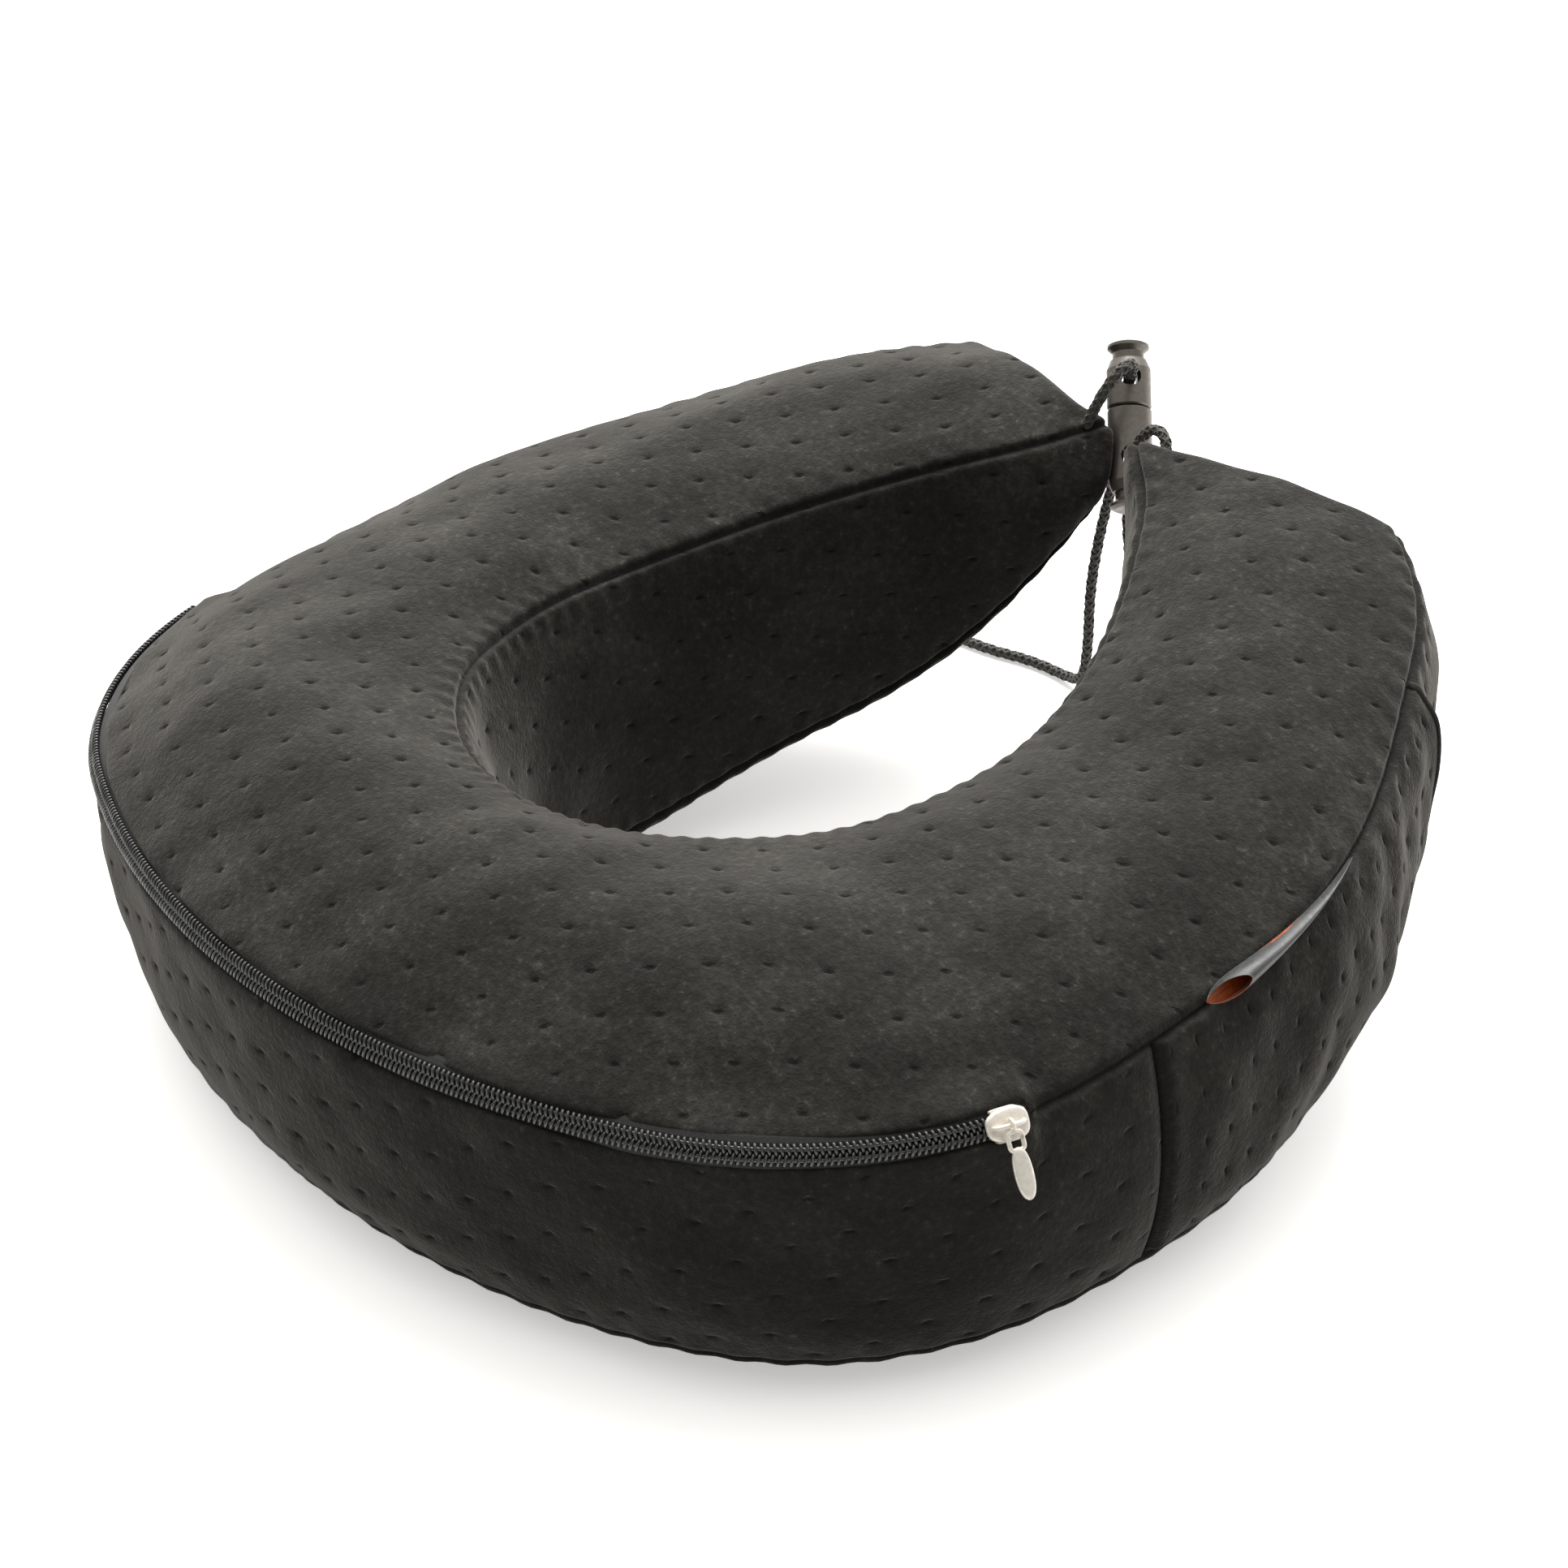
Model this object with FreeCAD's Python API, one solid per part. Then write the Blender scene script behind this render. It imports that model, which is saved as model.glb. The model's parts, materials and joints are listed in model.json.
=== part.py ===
"""U-shaped neck pillow: foam core, liner, zipped velour cover, side pocket and clasped cord locks.

Millimetres. +Z is up, +Y is the nape (closed) end and -Y is the open front.
The origin is on the table, under the middle of the pillow's plan.
"""
import FreeCAD
import Part
import math
import os
from collections import namedtuple

Vector = FreeCAD.Vector

# --- driving sizes: plan -----------------------------------------------------------------
NAPE_REACH = 139.0        # middle of the plan to the nape seam
NAPE_RADIUS = 240.0       # plan radius of the long, nearly straight nape stretch
NAPE_HALF = 100.0         # half length of that stretch, measured across
HALF_WIDTH = 152.0        # middle of the plan to the side seam
ZIP_SEAM_Z = 64.0         # height of the outer top seam along the zip

# --- driving sizes: section --------------------------------------------------------------
SIDE_TUCK = 5.0           # the lower outer seam sits this much inside the upper one
SIDE_BULGE = 5.5          # swell of the outer wall between its seams
NECK_BULGE = 4.0          # swell of the neck wall between its seams
FLAT_SHARE = 0.22         # share of the width, at each side, where the underside rounds up
BASE_DRAWN = -0.2         # the underside is drawn this low, then cut flat where it meets the table
SEAM_SKIN = 1.6           # velour with its foam backing
LINER_OUT = 1.8           # depth of the liner's outer face
LINER_IN = 2.4            # depth of the liner's inner face
FOAM_IN = 2.7             # depth of the foam's face
SEAM_SPLIT_Y = 24.0       # the two upright seams of the outer wall

# --- driving sizes: zip ------------------------------------------------------------------
ZIP_LEAN = math.radians(29)   # the zip's face looks out and this much up
ZIP_END = 76.0            # heading of both ends of the chain, degrees from +Y
SLIDER_AT = 73.0          # heading of the slider, on the -X side
TAPE = (0.3, 5.2, 0.55, 0.95)     # each tape: near edge, far edge, underside, top
COIL = (0.08, 2.15, 1.0, 2.6)     # each coil: the same
PULL_LENGTH = 17.0
PULL_WIDTH = 4.0
BRIDGE_HEIGHT = 5.9       # bar of the bridge above the seam
PLATE_TOP = 3.9
EYE_OUT = 1.6             # eye of the pull, outside and hole
EYE_HOLE = 0.85
BAR_RADIUS = 0.5

# --- driving sizes: cord locks -----------------------------------------------------------
LOCK_RADIUS = 5.4
LOCK_RING = Vector(13.3, -126.5, 97.5)     # where the two locks meet
LOCK_AXIS = Vector(0.505, -0.478, 0.718).normalize()    # from the lower lock to the upper one
EYE_AXIS = Vector(0.586, -0.421, -0.692)   # along the cord holes, away from the wearer
UPPER_BODY = 12.3
LOWER_BODY = 20.8
UPPER_EYE = 7.3           # cord hole above the meeting face
LOWER_EYE = 12.8          # cord hole below it
EYE_RADIUS = 2.6
UPPER_BORE_FLOOR = 1.4
LOWER_BORE_FLOOR = 6.9
BORE_RADIUS = 3.95
PLUNGER_RADIUS = 3.85     # the plunger and the button's waist
BUTTON_RIM = 5.1
BUTTON_OUT = 4.3          # how far a released button stands out
PRESS = 1.8               # button travel
PLUNGER_START = 2.8       # plunger's inner end above its bore's floor
STUD_RADIUS = 2.9
STUD_LENGTH = 5.0
CORD_RADIUS = 1.5

Station = namedtuple(
    "Station", "outer inner outer_top inner_top outer_low inner_low under_outer under_inner crown flare"
)


def nape_arcs():
    """Centres, radii and the meeting heading of the nape arc and the corner arc (+X side)."""
    meet = math.asin(NAPE_HALF / NAPE_RADIUS)
    corner = (HALF_WIDTH - NAPE_HALF) / (1 - math.sin(meet))
    nape_centre = Vector(0, NAPE_REACH - NAPE_RADIUS, 0)
    meet_y = nape_centre.y + NAPE_RADIUS * math.cos(meet)
    corner_centre = Vector(HALF_WIDTH - corner, meet_y - corner * math.cos(meet), 0)
    return nape_centre, corner_centre, corner, meet


NAPE_CENTRE, CORNER_CENTRE, CORNER_RADIUS, MEET = nape_arcs()
MEET_DEG = math.degrees(MEET)


def outline(heading_deg):
    """Point of the back outline at a heading measured from +Y towards +X."""
    heading = math.radians(heading_deg)
    centre, radius = CORNER_CENTRE, CORNER_RADIUS
    if heading <= MEET:
        centre, radius = NAPE_CENTRE, NAPE_RADIUS
    return (centre.x + radius * math.sin(heading), centre.y + radius * math.cos(heading))


HALF_STATIONS = (
    Station(outline(0), (0, 60), ZIP_SEAM_Z, 82, 7, 9, BASE_DRAWN, BASE_DRAWN, 14, 10),
    Station(outline(MEET_DEG), (31, 52), ZIP_SEAM_Z, 82, 7, 9, BASE_DRAWN, BASE_DRAWN, 14, 9),
    Station(outline(47), (45, 41), ZIP_SEAM_Z, 82, 7, 9, BASE_DRAWN, BASE_DRAWN, 13.5, 8),
    Station(outline(70), (55, 27), ZIP_SEAM_Z, 81, 8, 10, BASE_DRAWN, BASE_DRAWN, 13, 6),
    Station((HALF_WIDTH, SEAM_SPLIT_Y), (61, 8), 67, 81, 9, 11, BASE_DRAWN, BASE_DRAWN, 12.5, 4),
    Station((149, -15), (61, -14), 71, 81, 12, 13, 0.2, 0.2, 12, 3),
    Station((136, -55), (53, -43), 77, 84, 23, 22, 14, 13, 11, 3),
    Station((112, -93), (37, -74), 86, 90, 35, 36, 27, 27, 9, 2),
    Station((94, -115), (22, -95), 91, 95, 43, 56, 37, 46, 8, 1),
    Station((72, -130), (8, -112), 96, 99, 52, 81, 47, 76, 5, 0),
)


def mirrored(station):
    """The same station on the -X arm."""
    return station._replace(
        outer=(-station.outer[0], station.outer[1]), inner=(-station.inner[0], station.inner[1])
    )


def all_stations():
    """From the +X tip, round the nape, to the -X tip."""
    right = [mirrored(s) for s in HALF_STATIONS[1:]]
    return list(reversed(HALF_STATIONS)) + right


STATIONS = all_stations()
MIDDLE = len(HALF_STATIONS) - 1
LAST = len(STATIONS) - 1


def section_marks(station):
    """Corners and mid points of the section, as (distance from the neck side, height)."""
    width = math.dist(station.outer, station.inner)
    outer_top = (width, station.outer_top)
    inner_top = (station.flare, station.inner_top)
    inner_low = (0.0, station.inner_low)
    under_inner = (FLAT_SHARE * width, station.under_inner)
    under_outer = ((1 - FLAT_SHARE) * width, station.under_outer)
    outer_low = (width - SIDE_TUCK, station.outer_low)
    corners = (outer_top, inner_top, inner_low, under_inner, under_outer, outer_low)
    swells = (station.crown, NECK_BULGE, 2.2, 0.0, 1.6, SIDE_BULGE)
    return corners, [swollen(corners[i], corners[(i + 1) % 6], swells[i]) for i in range(6)]


def swollen(start, end, swell):
    """Middle of a side, pushed out of the section by its swell."""
    run, rise = end[0] - start[0], end[1] - start[1]
    length = math.hypot(run, rise)
    middle = ((start[0] + end[0]) / 2, (start[1] + end[1]) / 2)
    return (middle[0] + swell * rise / length, middle[1] - swell * run / length)


def shrink(mark, corners, depth):
    """Move a mark inward so that the section loses about `depth` on every side."""
    highs = [max(c[i] for c in corners) for i in (0, 1)]
    lows = [min(c[i] for c in corners) for i in (0, 1)]
    moved = []
    for i in (0, 1):
        centre = (highs[i] + lows[i]) / 2
        moved.append(centre + (mark[i] - centre) * (1 - 2 * depth / (highs[i] - lows[i])))
    return moved


def place_mark(station, mark, shift):
    """A section mark as a point in space."""
    width = math.dist(station.outer, station.inner)
    share = mark[0] / width
    x = station.inner[0] + (station.outer[0] - station.inner[0]) * share + shift.x
    y = station.inner[1] + (station.outer[1] - station.inner[1]) * share + shift.y
    return Vector(x, y, mark[1])


def end_shift(index, depth):
    """The two end sections of an inner skin stop short of the cover's front walls."""
    if index not in (0, LAST):
        return Vector(0, 0, 0)
    station = STATIONS[index]
    across = Vector(station.outer[0] - station.inner[0], station.outer[1] - station.inner[1], 0)
    across.normalize()
    side = 1 if station.outer[0] > 0 else -1
    return Vector(across.y * side, -across.x * side, 0) * -depth


def section_points(index, depth):
    """Corner and middle points of one section at a depth below the cover's face."""
    station = STATIONS[index]
    corners, middles = section_marks(station)
    shift = end_shift(index, depth)
    ends = [place_mark(station, shrink(c, corners, depth), shift) for c in corners]
    mids = [place_mark(station, shrink(m, corners, depth), shift) for m in middles]
    return ends, mids


def side_edge(start, middle, end, straight):
    if straight:
        return Part.LineSegment(start, end).toShape()
    return Part.Arc(start, middle, end).toShape()


def section_wire(index, depth):
    """Closed section: top, neck wall, rounded edge, flat underside, rounded edge, outer wall."""
    ends, mids = section_points(index, depth)
    edges = [side_edge(ends[i], mids[i], ends[(i + 1) % 6], i == 3) for i in range(6)]
    return Part.Wire(edges)


def skin(depth, solid=False):
    """The whole U as a loft through every section, at a depth below the cover's face."""
    return Part.makeLoft([section_wire(i, depth) for i in range(len(STATIONS))], solid, False, False)


def nearest(shapes, point):
    probe = Part.Vertex(point)
    return min(shapes, key=lambda s: s.distToShape(probe)[0])


def seam_edge(shell, depth, corner):
    """The lengthwise edge of a skin through one corner of its middle section."""
    return nearest(shell.Edges, section_points(MIDDLE, depth)[0][corner])


def side_face(shell, depth, side):
    return nearest(shell.Faces, section_points(MIDDLE, depth)[1][side])


def end_edge(shell, depth, side, index):
    return nearest(shell.Edges, section_points(index, depth)[1][side])


def sewn(faces):
    shell = Part.makeCompound(faces)
    shell.sewShape(0.01)
    solid = Part.Solid(shell.Shells[0])
    if solid.Volume < 0:
        solid.reverse()
    return solid


def end_faces(outer, inner, sides, index):
    """The narrow faces that close a panel at one tip of the U."""
    return [
        Part.makeRuledSurface(end_edge(outer, 0, s, index), end_edge(inner, SEAM_SKIN, s, index))
        for s in sides
    ]


def panel(outer, inner, sides, corners):
    """A cover panel: the stretch of skin between two seams, mitred at the seams."""
    faces = [side_face(outer, 0, s) for s in sides]
    faces += [side_face(inner, SEAM_SKIN, s) for s in sides]
    for corner in corners:
        pair = (seam_edge(outer, 0, corner), seam_edge(inner, SEAM_SKIN, corner))
        faces.append(Part.makeRuledSurface(*pair))
    faces += end_faces(outer, inner, sides, 0) + end_faces(outer, inner, sides, LAST)
    return sewn(faces)


def front_wall(outer, inner, index):
    """The blunt front of one arm, part of the same strip of cloth as its outer wall."""
    sides = range(6)
    faces = []
    for shell, depth in ((outer, 0), (inner, SEAM_SKIN)):
        rim = [end_edge(shell, depth, s, index) for s in sides]
        faces.append(Part.Face(Part.Wire(Part.__sortEdges__(rim))))
    return sewn(faces + end_faces(outer, inner, sides, index))


def cover_panels():
    outer, inner = skin(0), skin(SEAM_SKIN)
    wall = panel(outer, inner, (5,), (5, 0))
    back_half = Part.makeBox(400, 200, 200, Vector(-200, SEAM_SPLIT_Y, -50))
    left_half = Part.makeBox(200, 400, 200, Vector(0, -200, -50))
    arms = wall.cut(back_half)
    table = Part.makeBox(400, 400, 20, Vector(-200, -200, -20))
    return {
        "cover_top_panel": panel(outer, inner, (0,), (0, 1)),
        "cover_neck_panel": panel(outer, inner, (1,), (1, 2)),
        "cover_bottom_panel": panel(outer, inner, (2, 3, 4), (2, 5)).cut(table),
        "cover_nape_wall": wall.common(back_half),
        "cover_left_wall": arms.common(left_half).fuse(front_wall(outer, inner, 0)),
        "cover_right_wall": arms.cut(left_half).fuse(front_wall(outer, inner, LAST)),
    }


def filling():
    liner = skin(LINER_OUT, True).cut(skin(LINER_IN, True))
    return {"foam_core": skin(FOAM_IN, True), "foam_liner": liner}


# --- zip ----------------------------------------------------------------------------------

def zip_mark(radius, along, out):
    """Distance from an arc's centre and height of a point `along` the zip's face, `out` of it."""
    r = radius + out * math.cos(ZIP_LEAN) - along * math.sin(ZIP_LEAN)
    return r, ZIP_SEAM_Z + out * math.sin(ZIP_LEAN) + along * math.cos(ZIP_LEAN)


def arc_strip(centre, radius, box, start_deg, end_deg):
    """A flat strip of the zip's face, turned about an arc's centre between two headings."""
    near, far, low, high = box
    marks = [zip_mark(radius, a, o) for a, o in ((near, low), (far, low), (far, high), (near, high))]
    heading = math.radians(start_deg)
    direction = Vector(math.sin(heading), math.cos(heading), 0)
    points = [centre + direction * r + Vector(0, 0, z) for r, z in marks]
    face = Part.Face(Part.makePolygon(points + points[:1]))
    return face.revolve(centre, Vector(0, 0, 1), start_deg - end_deg)


def zip_strip(box, start_deg=-ZIP_END, end_deg=ZIP_END):
    """A strip all along the zip: right corner, nape, left corner."""
    right_centre = Vector(-CORNER_CENTRE.x, CORNER_CENTRE.y, 0)
    right = arc_strip(right_centre, CORNER_RADIUS, box, start_deg, -MEET_DEG)
    nape = arc_strip(NAPE_CENTRE, NAPE_RADIUS, box, -MEET_DEG, MEET_DEG)
    left = arc_strip(CORNER_CENTRE, CORNER_RADIUS, box, MEET_DEG, end_deg)
    return right.fuse(nape).fuse(left).removeSplitter()


def below(box):
    """The same strip on the lower side of the seam."""
    return (-box[1], -box[0], box[2], box[3])


def zip_frame():
    """Placement at the slider: X along the chain, Y up the zip's face, Z out of it."""
    heading = math.radians(-SLIDER_AT)
    outward = Vector(math.sin(heading), math.cos(heading), 0)
    centre = Vector(-CORNER_CENTRE.x, CORNER_CENTRE.y, ZIP_SEAM_Z)
    z_axis = outward * math.cos(ZIP_LEAN) + Vector(0, 0, math.sin(ZIP_LEAN))
    y_axis = Vector(0, 0, math.cos(ZIP_LEAN)) - outward * math.sin(ZIP_LEAN)
    x_axis = y_axis.cross(z_axis)
    rotation = FreeCAD.Rotation(x_axis, y_axis, z_axis, "ZXY")
    return FreeCAD.Placement(centre + outward * CORNER_RADIUS, rotation)


def placed(shape, placement):
    moved = shape.copy()
    moved.Placement = placement.multiply(shape.Placement)
    return moved


def slider_plate():
    """Shield-shaped top plate, broad at the mouth."""
    outline_points = [(-4.5, -2.6), (-2.8, -3.5), (2.5, -3.5), (4.5, -2.9),
                      (4.5, 2.9), (2.5, 3.5), (-2.8, 3.5), (-4.5, 2.6)]
    points = [Vector(x, y, 3.0) for x, y in outline_points]
    return Part.Face(Part.makePolygon(points + points[:1])).extrude(Vector(0, 0, PLATE_TOP - 3.0))


def slider():
    """Top plate, two guide flanges outside the coils, and the bridge that carries the pull."""
    body = slider_plate()
    for side in (-1, 1):
        y_low = 2.6 if side > 0 else -3.4
        body = body.fuse(Part.makeBox(5.2, 0.8, 1.8, Vector(-2.6, y_low, 1.25)))
    post_height = BRIDGE_HEIGHT + BAR_RADIUS - PLATE_TOP + 0.1
    for x in (-3.4, 2.4):
        foot = Vector(x, -BAR_RADIUS, PLATE_TOP - 0.1)
        body = body.fuse(Part.makeBox(1.0, 2 * BAR_RADIUS, post_height, foot))
    bar = Part.makeCylinder(BAR_RADIUS, 5.0, Vector(-2.5, 0, BRIDGE_HEIGHT), Vector(1, 0, 0))
    return body.fuse(bar).removeSplitter()


def pull():
    """Eye round the bridge bar, then a teardrop tab that hangs down the wall."""
    start, along, thick = Vector(-0.7, 0, BRIDGE_HEIGHT), Vector(1, 0, 0), 1.4
    eye = Part.makeCylinder(EYE_OUT, thick, start, along)
    shank = Part.makeBox(thick, 3.0, 1.0, Vector(-0.7, -4.2, BRIDGE_HEIGHT - 0.5))
    half, tip_y = PULL_WIDTH / 2, EYE_OUT - PULL_LENGTH
    top, right, left = Vector(0, -2.6, 0), Vector(half, tip_y + 2.6, 0), Vector(-half, tip_y + 2.6, 0)
    outline_edges = [
        Part.Arc(top, Vector(half * 0.6, -5.5, 0), right).toShape(),
        Part.Arc(right, Vector(0, tip_y, 0), left).toShape(),
        Part.Arc(left, Vector(-half * 0.6, -5.5, 0), top).toShape(),
    ]
    tab = Part.Face(Part.Wire(outline_edges)).extrude(Vector(0, 0, 1.0))
    tab.translate(Vector(0, 0, BRIDGE_HEIGHT - 0.5))
    hole = Part.makeCylinder(EYE_HOLE, thick, start, along)
    return eye.fuse(shank).fuse(tab).cut(hole).removeSplitter()


def zip_stops():
    """Crimped stops just past both ends of the coils."""
    box = (-2.2, 2.2, 0.95, 2.7)
    right_centre = Vector(-CORNER_CENTRE.x, CORNER_CENTRE.y, 0)
    right = arc_strip(right_centre, CORNER_RADIUS, box, -ZIP_END - 1.4, -ZIP_END - 0.2)
    left = arc_strip(CORNER_CENTRE, CORNER_RADIUS, box, ZIP_END + 0.2, ZIP_END + 1.4)
    return Part.makeCompound([right, left])


def zip_parts():
    frame = zip_frame()
    return {
        "zip_tape_upper": zip_strip(TAPE, -ZIP_END - 2, ZIP_END + 2),
        "zip_tape_lower": zip_strip(below(TAPE), -ZIP_END - 2, ZIP_END + 2),
        "zip_coil_upper": zip_strip(COIL),
        "zip_coil_lower": zip_strip(below(COIL)),
        "zip_end_stops": zip_stops(),
        "zip_slider": placed(slider(), frame),
        "zip_pull": placed(pull(), frame),
    }


# --- pocket and label ---------------------------------------------------------------------
POCKET_MOUTH_Y = -93.0    # the pocket runs from the upright seam to here, on the -X arm
POCKET_CLEAR = 0.5
POCKET_CLOTH = 1.2
POCKET_SLACK = 1.8        # extra swell of the loose pocket
POCKET_TRIM = math.radians(7)      # the patch stops this short of both seams, round the wall's arc
HEM_DEPTH = 3.0


def circle_through(a, b, c):
    """Centre and radius of the circle through three section marks."""
    circle = Part.Arc(*[Vector(m[0], m[1], 0) for m in (a, b, c)]).toShape().Curve
    return circle.Center, circle.Radius


def wall_arc(index, out, slack):
    """Arc of cloth lying on the outer wall, as three points."""
    station = STATIONS[index]
    corners, middles = section_marks(station)
    centre, radius = circle_through(corners[5], middles[5], corners[0])
    first, last = [math.atan2(c[1] - centre.y, c[0] - centre.x) for c in (corners[5], corners[0])]
    turns = ((first + POCKET_TRIM, out), ((first + last) / 2, out + slack), (last - POCKET_TRIM, out))
    marks = [(centre.x + (radius + o) * math.cos(t), centre.y + (radius + o) * math.sin(t)) for t, o in turns]
    return [place_mark(station, m, Vector(0, 0, 0)) for m in marks]


def cloth_wire(index, low, high):
    """Thin closed section of a cloth layer that lies on the outer wall."""
    a, b = wall_arc(index, low, POCKET_SLACK), wall_arc(index, high, POCKET_SLACK)
    return Part.Wire([
        Part.Arc(*a).toShape(),
        Part.LineSegment(a[2], b[2]).toShape(),
        Part.Arc(*reversed(b)).toShape(),
        Part.LineSegment(b[0], a[0]).toShape(),
    ])


def wall_cloth(low, high, front_y, back_y):
    """Layer of cloth over the -X arm's wall between two places along Y."""
    whole = Part.makeLoft([cloth_wire(i, low, high) for i in range(len(STATIONS))], True, False, False)
    return whole.common(Part.makeBox(200, back_y - front_y, 200, Vector(-200, front_y, -50)))


def pocket():
    """Loose patch sewn along its top, back and bottom; its front edge is the mouth."""
    return wall_cloth(POCKET_CLEAR, POCKET_CLEAR + POCKET_CLOTH, POCKET_MOUTH_Y, SEAM_SPLIT_Y)


def pocket_hem():
    """Turned hem along the pocket's mouth."""
    low = POCKET_CLEAR - 0.1
    return wall_cloth(low, low + POCKET_CLOTH + 0.6, POCKET_MOUTH_Y - HEM_DEPTH, POCKET_MOUTH_Y)


LABEL_BACK_Y, LABEL_FRONT_Y = 2.0, -51.0   # the label's ends along the -X side seam
LABEL_WIDTH = 6.5
LABEL_CLOTH = 0.3
LABEL_LIFT = 1.2          # thickness of the flattened loop
LABEL_BASE = 0.9


def label_section(point, tangent):
    """Flattened loop that stands out of the seam: open at the seam, folded at its outer edge."""
    level = Vector(tangent.x, tangent.y, 0).normalize()
    outward = Vector(0, 0, 1).cross(level)
    if outward.x > 0:
        outward = outward * -1
    lean = math.radians(35)
    out = outward * math.cos(lean) + Vector(0, 0, math.sin(lean))
    up = Vector(0, 0, math.cos(lean)) - outward * math.sin(lean)
    inside = LABEL_WIDTH - 0.6
    rows = ((LABEL_BASE, 0.0), (LABEL_WIDTH, 0.0), (LABEL_WIDTH, LABEL_LIFT), (LABEL_BASE, LABEL_LIFT),
            (LABEL_BASE, LABEL_LIFT - LABEL_CLOTH), (inside, LABEL_LIFT - LABEL_CLOTH),
            (inside, LABEL_CLOTH), (LABEL_BASE, LABEL_CLOTH))
    corners = [point + out * a + up * b for a, b in rows]
    return Part.makePolygon(corners + corners[:1])


def label():
    """Woven label, a folded loop sewn into the side seam."""
    seam = seam_edge(skin(0), 0, 0)
    points = [p for p in seam.discretize(400) if p.x < 0 and LABEL_FRONT_Y <= p.y <= LABEL_BACK_Y]
    step = (len(points) - 1) / 4
    picked = [points[round(i * step)] for i in range(5)]
    wires = [label_section(picked[0], picked[1] - picked[0])]
    wires += [label_section(picked[i], picked[i + 1] - picked[i - 1]) for i in range(1, 4)]
    wires.append(label_section(picked[4], picked[4] - picked[3]))
    return Part.makeLoft(wires, True, False, False)


# --- cord locks (built upright about the meeting face, then leaned) -------------------------

def lock_frame():
    """Placement of the locks: Z along their common axis, X along the cord holes."""
    z_axis = Vector(LOCK_AXIS).normalize()
    x_axis = Vector(EYE_AXIS) - z_axis * EYE_AXIS.dot(z_axis)
    x_axis.normalize()
    rotation = FreeCAD.Rotation(x_axis, z_axis.cross(x_axis), z_axis, "ZXY")
    return FreeCAD.Placement(LOCK_RING, rotation)


def turned(profile):
    """Solid of revolution about Z from (radius, height) marks, its seam line clear of the cord holes."""
    points = [Vector(0, r, z) for r, z in profile]
    return Part.Face(Part.makePolygon(points + points[:1])).revolve(Vector(0, 0, 0), Vector(0, 0, 1), 360)


def eye_hole(height, radius):
    return Part.makeCylinder(radius, 4 * LOCK_RADIUS, Vector(-2 * LOCK_RADIUS, 0, height), Vector(1, 0, 0))


def upper_barrel():
    """Upper lock: shouldered barrel, blind bore for its plunger, and the clasp's stud below."""
    profile = [(0, UPPER_BORE_FLOOR), (0, -STUD_LENGTH), (STUD_RADIUS - 0.6, -STUD_LENGTH),
               (STUD_RADIUS, -STUD_LENGTH + 0.8), (STUD_RADIUS, 0.15), (LOCK_RADIUS - 0.4, 0.15),
               (LOCK_RADIUS, 0.55), (LOCK_RADIUS, UPPER_BODY - 2.4), (BORE_RADIUS + 0.5, UPPER_BODY),
               (BORE_RADIUS, UPPER_BODY), (BORE_RADIUS, UPPER_BORE_FLOOR)]
    return turned(profile).cut(eye_hole(UPPER_EYE, EYE_RADIUS))


def lower_barrel():
    """Lower lock: the clasp's socket above and the blind bore for its plunger below."""
    socket = STUD_RADIUS + 0.06
    profile = [(socket, -0.15), (LOCK_RADIUS - 0.4, -0.15), (LOCK_RADIUS, -0.55),
               (LOCK_RADIUS, -LOWER_BODY + 2.4), (BORE_RADIUS + 0.5, -LOWER_BODY), (BORE_RADIUS, -LOWER_BODY),
               (BORE_RADIUS, -LOWER_BORE_FLOOR), (0, -LOWER_BORE_FLOOR), (0, -STUD_LENGTH - 0.6),
               (socket, -STUD_LENGTH - 0.6)]
    return turned(profile).cut(eye_hole(-LOWER_EYE, EYE_RADIUS))


def button(floor, eye, body_end):
    """Plunger with a tall cord slot, straight waist and flared, domed rim; it points up."""
    tip = body_end + BUTTON_OUT
    profile = [(0, floor + PLUNGER_START), (PLUNGER_RADIUS, floor + PLUNGER_START),
               (PLUNGER_RADIUS, body_end + PRESS + 0.1), (BUTTON_RIM, tip - 1.2), (BUTTON_RIM, tip - 0.5),
               (BUTTON_RIM - 0.9, tip), (0, tip)]
    slot_low = eye - CORD_RADIUS - 0.35
    height = 2 * CORD_RADIUS + PRESS + 0.8
    slot = Part.makeBox(4 * LOCK_RADIUS, 2 * CORD_RADIUS + 0.8, height,
                        Vector(-2 * LOCK_RADIUS, -CORD_RADIUS - 0.4, slot_low))
    return turned(profile).cut(slot)


def upside_down(shape):
    return shape.rotated(Vector(0, 0, 0), Vector(1, 0, 0), 180)


def spring(floor):
    """Envelope of the coil spring between a bore's floor and its plunger."""
    low, height = floor + 0.05, PLUNGER_START - 0.1
    coil = Part.makeCylinder(2.6, height, Vector(0, 0, low))
    return coil.cut(Part.makeCylinder(1.9, height, Vector(0, 0, low)))


def lock_parts():
    frame = lock_frame()
    shapes = {
        "upper_lock_barrel": upper_barrel(),
        "upper_lock_button": button(UPPER_BORE_FLOOR, UPPER_EYE, UPPER_BODY),
        "upper_lock_spring": spring(UPPER_BORE_FLOOR),
        "lower_lock_barrel": lower_barrel(),
        "lower_lock_button": upside_down(button(LOWER_BORE_FLOOR, LOWER_EYE, LOWER_BODY)),
        "lower_lock_spring": upside_down(spring(LOWER_BORE_FLOOR)),
    }
    return {name: placed(shape, frame) for name, shape in shapes.items()}


# --- cords --------------------------------------------------------------------------------
UPPER_EYE_AT = LOCK_RING + LOCK_AXIS * UPPER_EYE
LOWER_EYE_AT = LOCK_RING - LOCK_AXIS * LOWER_EYE

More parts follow.
